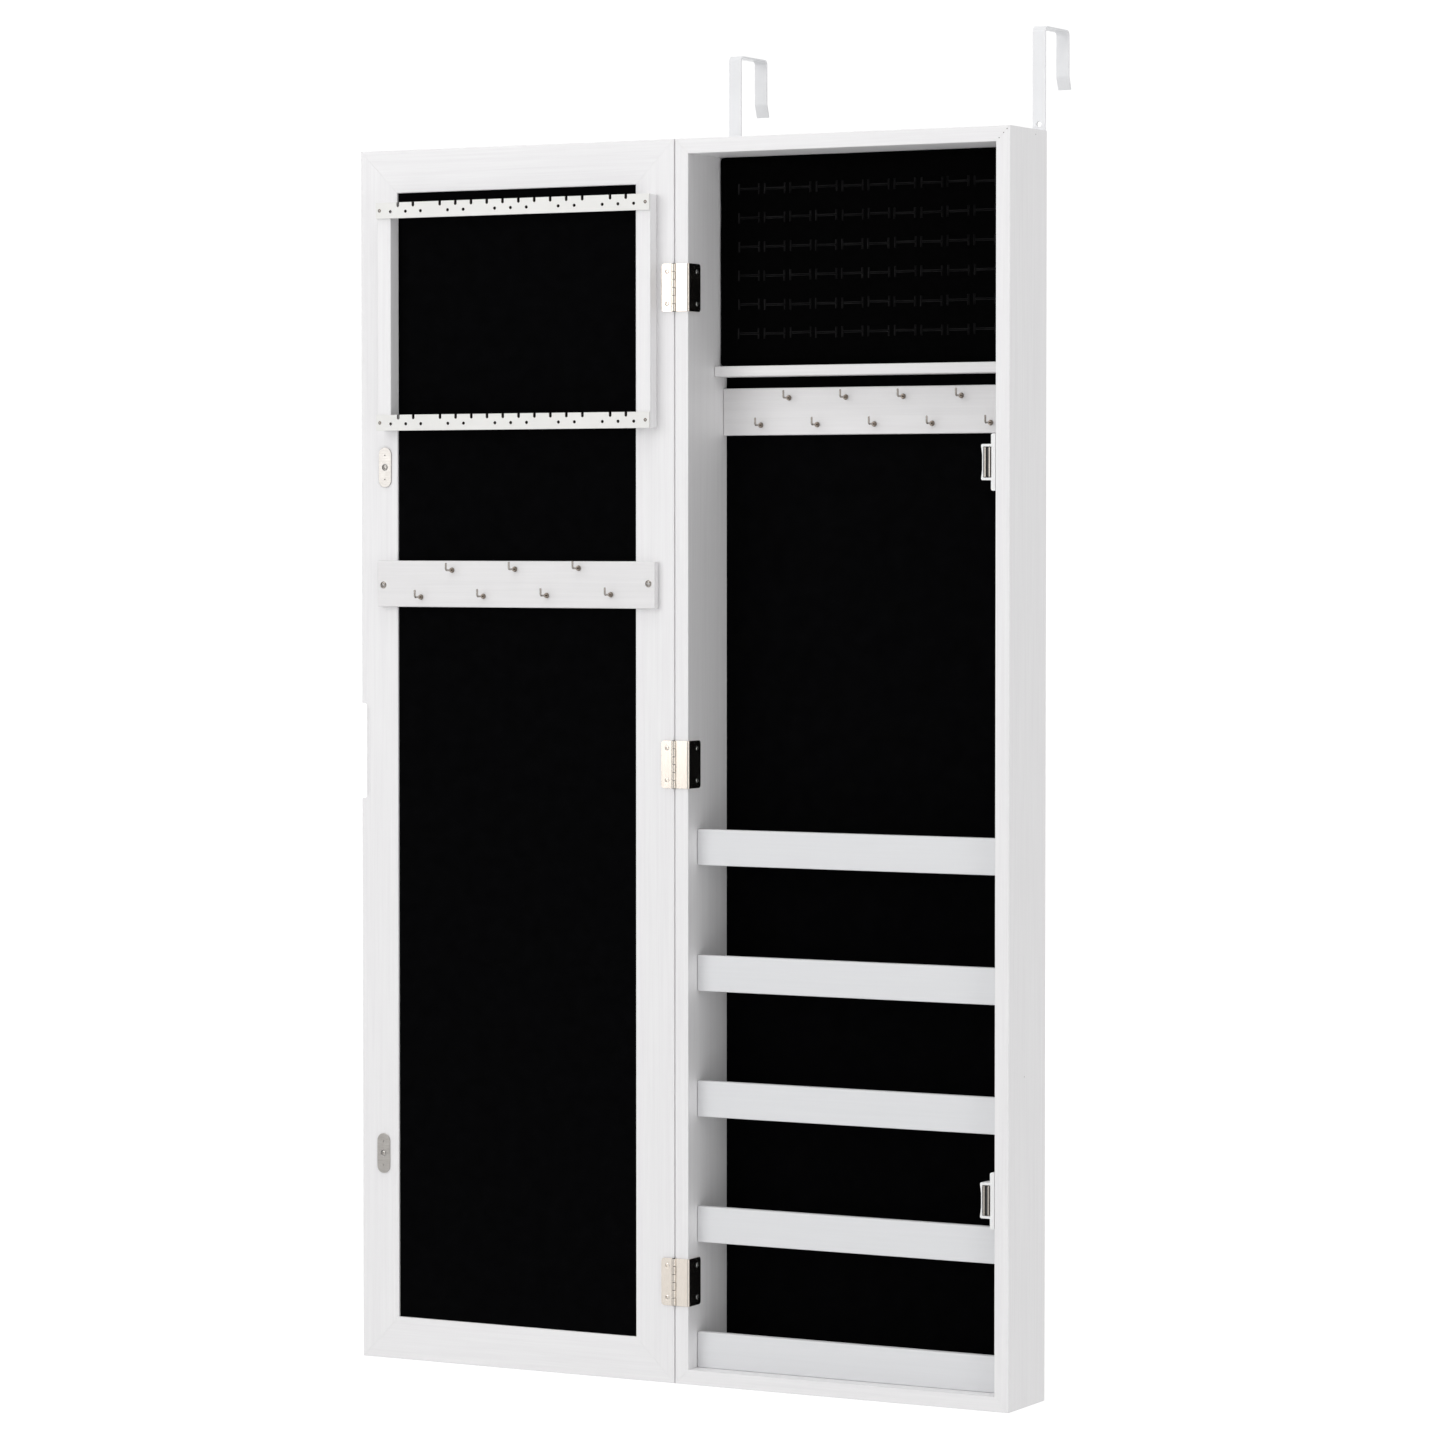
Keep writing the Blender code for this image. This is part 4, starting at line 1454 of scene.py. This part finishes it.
    def build(self) -> None:
        """Build the pad."""
        pad = self.blank()
        pad.data.materials.append(self.joiner.finishes.flock)
        start = [vert.co.copy() for vert in pad.data.vertices]
        self.swell(pad, start)
        self.fit(pad, start)
        rounding = pad.modifiers.new("rounding", "SUBSURF")
        rounding.levels = 1
        rounding.render_levels = 1
        bake_modifiers(pad)
        self.slits(pad)
        pad.data.shade_smooth()
        pad.data.set_sharp_from_angle(angle=math.radians(38.0))
        deliver(pad, Body.CASING, [], ["ring_cushion"])


@dataclass
class Door:
    """The mirrored door: frame, glass, felt-covered backing and the hook board."""

    joiner: Joiner
    lip_wide: float = 0.006
    lip_thick: float = 0.0035
    pull_heights: tuple[float, float] = (0.514, 0.601)
    pull_inset: float = 0.0088
    pull_depth: float = 0.008
    bevel_wide: float = 0.018
    rail_screw: float = 0.0066
    rail_climb: float = 0.0012

    def finger_pull(self, stile: bpy.types.Object) -> None:
        """Cut the finger pull in the free stile's outer edge.

        Args:
            stile: The stile.
        """
        edge = Box.of("door_left_stile").low.x
        low, high = (CASE_FOOT + height for height in self.pull_heights)
        points = outline(
            [
                (edge - OVERCUT, low, 0.0),
                (edge + self.pull_inset, low, self.pull_depth),
                (edge + self.pull_inset, high, self.pull_depth),
                (edge - OVERCUT, high, 0.0),
            ],
            steps=10,
        )
        combine(stile, as_object("pull", prism(points, FRONT - OVERCUT, FRONT + self.pull_depth, "Y")))
        reach = edge + self.pull_inset + OVERCUT
        ease_edges(stile, lambda spot: spot.x < reach and low - OVERCUT < spot.z < high + OVERCUT, 0.0009)

    def frame_sides(self) -> None:
        """Make the stiles and rails."""
        stile = Box.of("door_left_stile")
        wide = stile.size.x
        member = wide - self.lip_wide
        outer = stile.high.y
        lip = outer - self.lip_thick
        section = [
            (0.0, FRONT, 0.0010),
            (member, FRONT, 0.0007),
            (member, lip, 0.0),
            (wide, lip, 0.0),
            (wide, outer, 0.0008),
            (0.0, outer, 0.0010),
        ]
        sides = MitredFrame(
            ("door_free_stile", "door_head_rail", "door_hinge_stile", "door_foot_rail"),
            ("door_left_stile", "door_top_rail", "door_right_stile", "door_bottom_rail"),
            section,
            Body.DOOR,
        )
        sides.build(self.joiner.finishes, {0: self.finger_pull, 2: Hinges.groove})

    def panels(self) -> None:
        """Make the mirror, with a bevelled border on its outer face, and the felt backing."""
        box = Box.of("door_mirror")
        thin = 0.0010
        slab = Box(box.low, Vector((box.high.x, box.high.y - thin, box.high.z)))
        shape = cuboid(slab)
        rim = slab.high.y - MERGE
        faces = [face for face in shape.faces if all(vert.co.y > rim for vert in face.verts)]
        bmesh.ops.inset_region(shape, faces=faces, thickness=self.bevel_wide, use_even_offset=True)
        raised = {vert for face in faces for vert in face.verts}
        bmesh.ops.translate(shape, vec=(0.0, thin, 0.0), verts=list(raised))
        glass = as_object("mirror_pane", shape)
        finishes = self.joiner.finishes
        deliver(glass, Body.DOOR, [finishes.glass], ["door_mirror"])
        plank("door_felt", "door_backing", Body.DOOR, finishes.felt, 0.0003)

    def hook_board(self) -> None:
        """Make the hook board, its hooks and its end screws."""
        plank("door_hook_rail", "door_hook_board", Body.DOOR, self.joiner.finishes.board, 0.0010)
        self.joiner.hook_rows("door_hooks", "door_hook", 7, Body.DOOR)
        box = Box.of("door_hook_board")
        ends = (
            (box.low.x + self.rail_screw, -self.rail_climb),
            (box.high.x - self.rail_screw, self.rail_climb),
        )
        spots = [(Vector((x, box.low.y, box.middle.z + rise)), FORWARD) for x, rise in ends]
        head = CrossHead(0.0033, 0.0011)
        wire = self.joiner.finishes.wire
        self.joiner.screws("hook_rail_screws", head, spots, Body.DOOR, Slot.NICKEL, wire)

    def build(self) -> None:
        """Build the door in order."""
        self.frame_sides()
        self.panels()
        self.hook_board()


@dataclass
class EarringHolder:
    """Two posts with a thin bar across each end, pierced and notched for earrings."""

    joiner: Joiner
    pitch: float = 0.0165
    end_pitch: float = 0.016
    end_start: float = 0.0947
    hole_radius: float = 0.0014
    hole_drop: float = 0.0083
    notch_wide: float = 0.0026
    notch_deep: float = 0.0042
    end_screw: float = 0.0040

    def places(self) -> tuple[list[float], list[float]]:
        """Offsets of the holes and of the notches from a bar's middle.

        Returns:
            The holes' and the notches' offsets.
        """
        holes = [0.0]
        notches = []
        for side in (-1, 1):
            holes += [side * self.pitch * step for step in (1, 3, 4)]
            holes += [side * (self.end_start + self.end_pitch * step) for step in range(3)]
            notches += [side * self.pitch * (step + 0.5) for step in range(5)]
            notches += [side * (self.end_start + self.end_pitch * (step + 0.5)) for step in range(2)]
        return holes, notches

    def bar(self, name: str, node: str) -> None:
        """Make a bar and pierce it.

        Args:
            name: The piece's name.
            node: The CAD node.
        """
        box = Box.of(node)
        # The cut faces take the dark bare hardboard, which paints the shade inside the holes and notches.
        bare = self.joiner.finishes.bare_board_painted_shade
        bar = as_object(name, cuboid(box))
        bar.data.materials.append(self.joiner.finishes.bar_enamel)
        through = box.size.y + 2 * OVERCUT
        out = FORWARD
        pierced = rods([Vector((0, 0, 0))], self.hole_radius, through, UP, 20)
        hole = as_object("hole_pattern", pierced)
        half = self.notch_wide / 2
        foot = -self.notch_deep
        rounded = half * 0.95
        slot_points = outline(
            [(-half, foot, rounded), (half, foot, rounded), (half, -foot, 0.0), (-half, -foot, 0.0)], 5
        )
        notch = as_object("notch_pattern", prism(slot_points, -through / 2, through / 2, "Z"))
        holes, notches = self.places()
        for pattern, offsets, drop in ((hole, holes, self.hole_drop), (notch, notches, 0.0)):
            spots = [(Vector((box.middle.x + x, box.middle.y, box.high.z - drop)), out) for x in offsets]
            cutters = self.joiner.scatter.run(
                "piercing", spots, Pattern=pattern, Turn=0.0, Shift=0.0, Seed=0, Finish=bare
            )
            bpy.data.objects.remove(pattern, do_unlink=True)
            combine(bar, cutters, materials="TRANSFER")
        soften(bar, 0.0002, 2)
        deliver(bar, Body.DOOR, [], [node])

    def build(self) -> None:
        """Build the holder."""
        upright = self.joiner.finishes.upright
        plank("ear_post_left", "earring_post_left", Body.DOOR, upright, 0.0009)
        plank("ear_post_right", "earring_post_right", Body.DOOR, upright, 0.0009)
        spots = []
        for level in ("upper", "lower"):
            node = f"earring_bar_{level}"
            self.bar(f"ear_bar_{level}", node)
            box = Box.of(node)
            spots += [
                (Vector((x, box.low.y, box.middle.z)), FORWARD)
                for x in (box.low.x + self.end_screw, box.high.x - self.end_screw)
            ]
        head = CrossHead(0.0016, 0.0005)
        bronze = self.joiner.finishes.bronze
        self.joiner.screws("ear_bar_screws", head, spots, Body.DOOR, Slot.NICKEL, bronze)


@dataclass
class Hinges:
    """Three hinges: a flat leaf on the door, and a leaf round the casing's edge and inner wall."""

    joiner: Joiner
    leaf: float = 0.001
    proud: float = 0.0015
    corner: float = 0.003
    bend: float = 0.0022
    knuckles: int = 6
    radius: float = 0.002
    pin: float = 0.0008
    spread: float = 0.0142
    hole: float = 0.0024
    door_screw: float = 0.0069
    wall_screw: float = 0.0148
    heights: tuple[str, ...] = ("top", "middle", "bottom")

    @staticmethod
    def groove(side: bpy.types.Object) -> None:
        """Cut the knuckles' grooves in a casing board or a door stile.

        Args:
            side: The board, whose edge lies at the hinge axis.
        """
        radius = Hinges.radius + FIT
        for height in Hinges.heights:
            box = Box.of(f"hinge_casing_leaf_{height}")
            spot = Vector((AXIS.x, AXIS.y, box.middle.z))
            groove = rods([spot], radius, box.size.z + 2 * FIT, UP, 40)
            combine(side, as_object("groove", groove))

    def knuckle_rods(self, middle: Vector, tall: float, first: int, grown: float) -> bmesh.types.BMesh:
        """Every second knuckle.

        Args:
            middle: The hinge's middle on its axis.
            tall: The hinge's height.
            first: 0 or 1, the lowest knuckle that is taken.
            grown: How much larger than the knuckles the rods are.

        Returns:
            The rods.
        """
        pitch = tall / self.knuckles
        spots = [
            middle + Vector((0, 0, (slot + 0.5) * pitch - tall / 2))
            for slot in range(first, self.knuckles, 2)
        ]
        return rods(spots, self.radius + grown, pitch - FIT * 1.5 + 2 * grown, UP, 32)

    def finish_leaf(
        self, leaf: bpy.types.Object, middle: Vector, tall: float, first: int, holes: Sequence[Spot]
    ) -> None:
        """Join a leaf to its knuckles, sink its screw holes and round it.

        The door's knuckles, counted from 0, turn on the casing's pin and are bored for it. The
        cutter for the other leaf's knuckles is longer than a whole pitch, so the leaves stay apart.

        Args:
            leaf: The flat or bent leaf.
            middle: The hinge's middle on its axis.
            tall: The hinge's height.
            first: Its lowest knuckle.
            holes: The screw holes on its face, and the way out of it.
        """
        combine(leaf, as_object("others", self.knuckle_rods(middle, tall, 1 - first, FIT * 0.95)))
        combine(leaf, as_object("own", self.knuckle_rods(middle, tall, first, 0.0)), "UNION")
        if first == 0:
            bore = rods([middle], self.pin + FIT, tall + 2 * OVERCUT, UP, 24)
            combine(leaf, as_object("bore", bore))
        shank = self.hole * 0.62
        mouth = self.hole * 1.45
        for spot, way in holes:
            sink = rods([spot - way * self.leaf / 2], shank, self.leaf + 2 * OVERCUT, way, 28)
            combine(leaf, as_object("sink", sink))
            wide = rods([spot], shank, self.leaf, way, 28, mouth)
            combine(leaf, as_object("wide", wide))
        soften(leaf, 0.00016, 2, 38.0)

    def door_leaf(self, height: str) -> list[Spot]:
        """Make the leaf on the door.

        Args:
            height: top, middle or bottom.

        Returns:
            Its screws' spots.
        """
        node = f"hinge_door_leaf_{height}"
        box = Box.of(node)
        back = AXIS.y + self.proud - FIT
        points = outline(
            [
                (box.low.x, box.low.z, self.corner),
                (AXIS.x, box.low.z, 0.0),
                (AXIS.x, box.high.z, 0.0),
                (box.low.x, box.high.z, self.corner),
            ],
            6,
        )
        leaf = as_object(f"door_hinge_leaf_{height}", prism(points, back - self.leaf, back, "Y"))
        middle = Vector((AXIS.x, AXIS.y, box.middle.z))
        out = FORWARD
        spots = [
            (Vector((AXIS.x - self.door_screw, back - self.leaf, middle.z + side * self.spread)), out)
            for side in (-1, 1)
        ]
        self.finish_leaf(leaf, middle, box.size.z, 0, spots)
        deliver(leaf, Body.DOOR, [self.joiner.finishes.nickel], [node])
        return spots

    def casing_leaf(self, height: str) -> list[Spot]:
        """Make the leaf round the casing's edge.

        Args:
            height: top, middle or bottom.

        Returns:
            Its screws' spots.
        """
        node = f"hinge_casing_leaf_{height}"
        box = Box.of(node)
        back = AXIS.y + self.proud - FIT
        front = back - self.leaf
        inner = box.high.x - self.leaf
        points = outline(
            [
                (AXIS.x, front, 0.0),
                (box.high.x, front, self.bend),
                (box.high.x, box.high.y, 0.0),
                (inner, box.high.y, 0.0),
                (inner, back, self.bend - self.leaf),
                (AXIS.x, back, 0.0),
            ],
            6,
        )
        leaf = as_object(f"case_hinge_leaf_{height}", prism(points, box.low.z, box.high.z, "Z"))
        deep = box.high.y - self.leaf / 2
        reach = 2 * self.leaf
        shape = bmesh.new()
        shape.from_mesh(leaf.data)
        corners = [
            edge for edge in shape.edges
            if edge.calc_length() < reach and all(vert.co.y > deep for vert in edge.verts)
        ]
        bmesh.ops.bevel(shape, geom=corners, offset=self.corner, segments=6, profile=0.5, affect="EDGES")
        shape.to_mesh(leaf.data)
        shape.free()
        middle = Vector((AXIS.x, AXIS.y, box.middle.z))
        out = Vector((1, 0, 0))
        deep_screw = AXIS.y + self.proud + self.wall_screw
        spots = [
            (Vector((box.high.x, deep_screw, middle.z + side * self.spread)), out)
            for side in (-1, 1)
        ]
        self.finish_leaf(leaf, middle, box.size.z, 1, spots)
        deliver(leaf, Body.CASING, [self.joiner.finishes.nickel], [node])
        return spots

    def pins(self) -> None:
        """Make the three hinge pins, with a low head at each end."""
        crown, brow, foot = 0.0004, 0.0003, 0.00005  # heights of a head's rings past the hinge's end
        shape = bmesh.new()
        for height in self.heights:
            box = Box.of(f"hinge_casing_leaf_{height}")
            half = box.size.z / 2
            head = self.radius * 0.7
            top = [
                (0.0, half + crown),
                (head * 0.7, half + brow),
                (head, half + foot),
                (self.pin, half + foot),
            ]
            profile = top + [(across, -up) for across, up in reversed(top)]
            one = turned(profile, 20)
            bmesh.ops.translate(one, vec=(AXIS.x, AXIS.y, box.middle.z), verts=one.verts)
            mesh = bpy.data.meshes.new("pin")
            one.to_mesh(mesh)
            one.free()
            shape.from_mesh(mesh)
            bpy.data.meshes.remove(mesh)
        pins = as_object("hinge_pins", shape)
        soften(pins, 0.0, bevel=False)
        deliver(pins, Body.CASING, [self.joiner.finishes.dark])

    def build(self) -> None:
        """Build the hinges and drive their screws."""
        door_spots = []
        casing_spots = []
        for height in self.heights:
            door_spots += self.door_leaf(height)
            casing_spots += self.casing_leaf(height)
        self.pins()
        sunk = [(spot - way * 0.00035, way) for spot, way in door_spots]
        head = CrossHead(self.hole - 0.0001, 0.0004, 0.0005)
        nickel = self.joiner.finishes.nickel
        self.joiner.screws("door_leaf_screws", head, sunk, Body.DOOR, Slot.NICKEL, nickel)
        proud = CrossHead(self.hole - 0.0001, 0.0006, 0.0006)
        seated = [(spot - way * 0.0002, way) for spot, way in casing_spots]
        zinc = self.joiner.finishes.zinc
        self.joiner.screws("case_leaf_screws", proud, seated, Body.CASING, Slot.NICKEL, zinc)


@dataclass
class Catch:
    """A magnetic catch: a plastic housing, its floating magnet and the plate that it holds."""

    joiner: Joiner
    level: str
    body: Body
    body_tall: float = 0.031
    ear: float = 0.004
    wall: float = 0.0022
    well: float = 0.010
    waist: float = 0.0012
    ear_slot: float = 0.0034
    plate: float = 0.0013
    free_left: float = 0.0010
    free_right: float = 0.0007
    screw_spread: float = 0.020
    strike_hole: float = 0.0030
    strike_pip: float = 0.00055

    def housing(self) -> None:
        """Make the housing: two slotted ears and a waisted body with a well in front."""
        node = f"catch_housing_{self.level}"
        box = Box.of(node)
        middle = box.middle.z
        half = self.body_tall / 2
        ear = box.high.x - self.ear
        points = outline(
            [
                (box.high.x, box.low.z, 0.0),
                (box.high.x, box.high.z, 0.0),
                (ear, box.high.z, 0.0016),
                (ear, middle + half, 0.0006),
                (box.low.x, middle + half, 0.0014),
                (box.low.x + self.waist, middle + half * 0.4, 0.004),
                (box.low.x + self.waist, middle - half * 0.4, 0.004),
                (box.low.x, middle - half, 0.0014),
                (ear, middle - half, 0.0006),
                (ear, box.low.z, 0.0016),
            ],
            5,
        )
        housing = as_object(f"catch_case_{self.level}", prism(points, box.low.y, box.high.y, "Y"))
        half_well = half - self.wall
        low = Vector((box.low.x + self.wall, FRONT - OVERCUT, middle - half_well))
        high = Vector((ear + FIT, FRONT + self.well, middle + half_well))
        combine(housing, as_object("well", cuboid(Box(low, high))))
        half_slot = self.ear_slot / 2
        centres = [Vector((ear, box.middle.y, middle + side * self.screw_spread)) for side in (-1, 1)]
        for centre in centres:
            reach = Vector((0.0, half_slot, 0.0))
            for spot in (centre - reach, centre + reach):
                end = rods([spot], half_slot, 4 * self.ear, Vector((1, 0, 0)), 24)
                combine(housing, as_object("slot", end))
            size = Vector((2 * self.ear, half_slot, half_slot))
            combine(housing, as_object("slot", cuboid(Box(centre - size, centre + size))))
        soften(housing, 0.0004, 3, 38.0)
        deliver(housing, Body.CASING, [self.joiner.finishes.plastic], [node])
        spots = [(centre, Vector((-1, 0, 0))) for centre in centres]
        zinc = self.joiner.finishes.zinc
        name = f"catch_screws_{self.level}"
        self.joiner.screws(name, CrossHead(0.0029, 0.0012), spots, Body.CASING, Slot.NICKEL, zinc)

    def magnet(self) -> None:
        """Make the magnet between its two pole plates."""
        node = f"catch_magnet_{self.level}"
        box = Box.of(node)
        gap = 0.00008
        left = box.low.x + self.free_left
        right = box.high.x - self.free_right
        inner = Box(
            Vector((left + self.plate + gap, box.low.y + self.plate, box.low.z + 0.0006)),
            Vector((right - self.plate - gap, box.high.y, box.high.z - 0.0006)),
        )
        first, second = (
            Box(Vector((near, box.low.y, box.low.z)), Vector((far, box.high.y, box.high.z)))
            for near, far in ((left, left + self.plate), (right - self.plate, right))
        )
        shape = cuboid(first)
        cuboid(second, shape)
        cuboid(inner, shape)
        magnet = as_object(f"catch_pole_{self.level}", shape)
        soften(magnet, 0.00015, 2)
        low = left + self.plate + gap / 2
        high = right - self.plate - gap / 2
        paint_faces(magnet, 1, lambda face: low < face.center.x < high)
        finishes = self.joiner.finishes
        deliver(magnet, self.body, [finishes.pole, finishes.magnet], [node])

    def strike(self) -> None:
        """Make the plate on the door: round ends, a sunk screw and two small holes."""
        node = f"strike_plate_{self.level}"
        box = Box.of(node)
        round_end = box.size.x / 2 * 0.999
        points = outline(
            [
                (box.low.x, box.low.z, round_end),
                (box.high.x, box.low.z, round_end),
                (box.high.x, box.high.z, round_end),
                (box.low.x, box.high.z, round_end),
            ],
            14,
        )
        plate = as_object(f"catch_strike_{self.level}", prism(points, box.low.y, box.high.y, "Y"))
        out = FORWARD
        centre = Vector((box.middle.x, box.low.y, box.middle.z))
        combine(plate, as_object("hole", rods([centre], self.strike_hole, 4 * box.size.y, out, 28)))
        pips = [centre + Vector((0, 0, side * box.size.z * 0.30)) for side in (-1, 1)]
        combine(plate, as_object("pips", rods(pips, self.strike_pip, 4 * box.size.y, out, 16)))
        soften(plate, 0.0002, 2, 38.0)
        metal = self.joiner.finishes.strike
        deliver(plate, Body.DOOR, [metal], [node])
        spots = [(centre + Vector((0, 0.0004, 0)), out)]
        name = f"strike_screw_{self.level}"
        self.joiner.screws(name, CrossHead(0.0024, 0.0006, 0.0004), spots, Body.DOOR, Slot.NICKEL, metal)

    def build(self) -> None:
        """Build the catch."""
        self.housing()
        self.magnet()
        self.strike()


@dataclass
class DoorTopHook:
    """A flat strap, up the casing's back, over a room door and down behind it."""

    joiner: Joiner
    side: str
    thick: float = 0.0016
    leg: float = 0.200
    drop: float = 0.040
    flare: tuple[float, float] = (0.004, 0.0115)
    bend: float = 0.004
    knee_bend: float = 0.010
    span: float = 0.0488
    hole: float = 0.0022
    hole_drops: tuple[float, ...] = (0.085, 0.098, 0.111, 0.137, 0.150, 0.163)
    screwed: tuple[int, ...] = (0, 3)

    def path(self, box: Box) -> list[Vector]:
        """The strap's middle line, as depth and height.

        Args:
            box: The strap's box.

        Returns:
            The line's points.
        """
        half = self.thick / 2
        near = box.low.y + half
        far = near + self.span
        crown = box.high.z - half
        knee = box.high.z - self.drop
        foot = Vector((near, box.low.z))
        first = fillet(foot, Vector((near, crown)), Vector((far, crown)), self.bend, 8)
        second = fillet(Vector((near, crown)), Vector((far, crown)), Vector((far, knee)), self.bend, 8)
        tip = Vector((far + self.flare[0], knee - self.flare[1]))
        third = fillet(Vector((far, crown)), Vector((far, knee)), tip, self.knee_bend, 5)
        return [foot, *first, *second, *third, tip]

    def build(self) -> None:
        """Build the strap and its two screws."""
        node = f"over_door_hook_{self.side}"
        box = Box.of(node)
        shape = bmesh.new()
        spine = [shape.verts.new((box.low.x, y, z)) for y, z in self.path(box)]
        edges = [shape.edges.new(pair) for pair in zip(spine, spine[1:])]
        drawn = bmesh.ops.extrude_edge_only(shape, edges=edges)["geom"]
        moved = [item for item in drawn if isinstance(item, bmesh.types.BMVert)]
        bmesh.ops.translate(shape, vec=(box.size.x, 0, 0), verts=moved)
        strap = as_object(f"door_top_hook_{self.side}", shape)
        sheet = strap.modifiers.new("sheet", "SOLIDIFY")
        sheet.thickness = self.thick
        sheet.offset = 0.0
        sheet.use_even_offset = True
        bake_modifiers(strap)
        back = Vector((0, 1, 0))
        x = box.middle.x
        spots = [Vector((x, box.low.y + self.thick / 2, box.high.z - drop)) for drop in self.hole_drops]
        combine(strap, as_object("holes", rods(spots, self.hole, 4 * self.thick, back, 24)))
        soften(strap, 0.00045, 3, 50.0)
        finishes = self.joiner.finishes
        deliver(strap, Body.CASING, [finishes.enamel], [node])
        seats = [(spots[index] + back * self.thick / 2, back) for index in self.screwed]
        name = f"strap_screws_{self.side}"
        self.joiner.screws(name, CrossHead(0.0036, 0.0013), seats, Body.CASING, Slot.NICKEL, finishes.zinc)


# ---- studio


@dataclass
class Studio:
    """Camera, pale floor and soft lights."""

    spot: tuple[float, float, float] = (2.0435, -4.0681, 0.2052)
    below_level: float = 0.02859
    turn: float = 0.49568
    lens: float = 128.32
    shift_up: float = -0.03
    floor_drop: float = 0.9
    ambient: tuple[float, float] = (0.30, 0.60)  # from below and from above

    def camera(self) -> None:
        """Place the camera."""
        lens = bpy.data.cameras.new("camera")
        lens.lens = self.lens
        lens.sensor_width = 36.0
        lens.shift_y = self.shift_up
        lens.clip_end = 200.0
        camera = bpy.data.objects.new("camera", lens)
        camera.location = self.spot
        camera.rotation_euler = (math.pi / 2 - self.below_level, 0.0, self.turn)
        bpy.context.scene.collection.objects.link(camera)
        bpy.context.scene.camera = camera

    def floor(self) -> None:
        """Lay a plain pale floor."""
        shape = bmesh.new()
        bmesh.ops.create_grid(shape, x_segments=1, y_segments=1, size=60.0)
        bmesh.ops.translate(shape, vec=(0, 0, CASE_FOOT - self.floor_drop), verts=shape.verts)
        floor = as_object("floor", shape)
        palette = Palette("pale_floor")
        patches = palette.effect(patches_group(), Scale=0.5)
        palette.dress(
            Base_Color=palette.wiring.between(patches["Mask"], (0.93, 0.93, 0.93), (0.95, 0.95, 0.95)),
            Roughness=0.9,
            Specular_IOR_Level=0.1,
            Emission_Color=(1.0, 1.0, 1.0, 1.0),
            Emission_Strength=palette.wiring.ranged(self.seen(palette.wiring), 0.0, 0.6),
        )
        floor.data.materials.append(palette.material)

    @staticmethod
    def seen(wiring: Wiring) -> bpy.types.NodeSocket:
        """1 for what the camera sees directly, and 0 for what only lights the scene."""
        return wiring.node("ShaderNodeLightPath").outputs["Is Camera Ray"]

    def light(self, name: str, spot: Vector, size: tuple[float, float], power: float) -> None:
        """Hang a soft light that faces the armoire.

        Args:
            name: The light's name.
            spot: Where it hangs.
            size: Its width and height.
            power: Its power in watts.
        """
        target = Vector((-0.1, 0.0, 0.05))
        data = bpy.data.lights.new(name, "AREA")
        data.shape = "RECTANGLE"
        data.size = size[0]
        data.size_y = size[1]
        data.energy = power
        lamp = bpy.data.objects.new(name, data)
        lamp.location = spot
        lamp.rotation_euler = (target - spot).to_track_quat("-Z", "Y").to_euler()
        bpy.context.scene.collection.objects.link(lamp)

    def surround(self) -> None:
        """Light the scene evenly from all round, and show white behind it."""
        world = bpy.data.worlds.new("surround")
        world.use_nodes = True
        bpy.context.scene.world = world
        wiring = Wiring(world.node_tree)
        background = world.node_tree.nodes["Background"]
        way = wiring.node("ShaderNodeTexCoord").outputs["Generated"]
        parts = wiring.set(wiring.node("ShaderNodeSeparateXYZ"), Vector=way)
        height = wiring.node("ShaderNodeMapRange")
        dim, bright = self.ambient
        wiring.set(height, Value=parts.outputs["Z"], From_Min=-1.0, To_Min=dim, To_Max=bright)
        strength = wiring.node("ShaderNodeMix", data_type="FLOAT")
        wiring.set(strength, Factor=self.seen(wiring), A=height.outputs["Result"], B=1.05)
        shown = next(item for item in strength.outputs if item.enabled)
        wiring.set(background, Color=(1.0, 1.0, 1.0, 1.0), Strength=shown)

    def build(self) -> None:
        """Set up the studio."""
        bpy.context.scene.view_settings.view_transform = "Standard"
        self.camera()
        self.floor()
        self.surround()
        self.light("key", Vector((-1.6, -2.9, 1.15)), (2.2, 2.7), 36.5)
        self.light("low_key", Vector((-1.2, -3.0, -0.75)), (1.5, 0.8), 2.2)
        self.light("overhead", Vector((0.2, -0.9, 3.0)), (2.0, 2.0), 26.0)
        self.light("front_right", Vector((3.0, -1.5, 0.0)), (1.2, 2.4), 14.0)
        self.light("right_fill", Vector((2.9, 0.9, 0.9)), (2.0, 2.4), 14.0)
        self.light("back_fill", Vector((-1.8, 2.8, 1.2)), (2.0, 2.0), 24.0)


def main() -> None:
    """Build the armoire, sub-assembly by sub-assembly."""
    logging.basicConfig(level=logging.INFO, format="%(name)s: %(message)s")
    Studio().build()
    joiner = Joiner()
    Casing(joiner).build()
    RingPad(joiner).build()
    Door(joiner).build()
    EarringHolder(joiner).build()
    Hinges(joiner).build()
    for level, body in (("upper", Body.UPPER_MAGNET), ("lower", Body.LOWER_MAGNET)):
        Catch(joiner, level, body).build()
    for side in ("left", "right"):
        DoorTopHook(joiner, side).build()


if __name__ == "__main__":
    main()
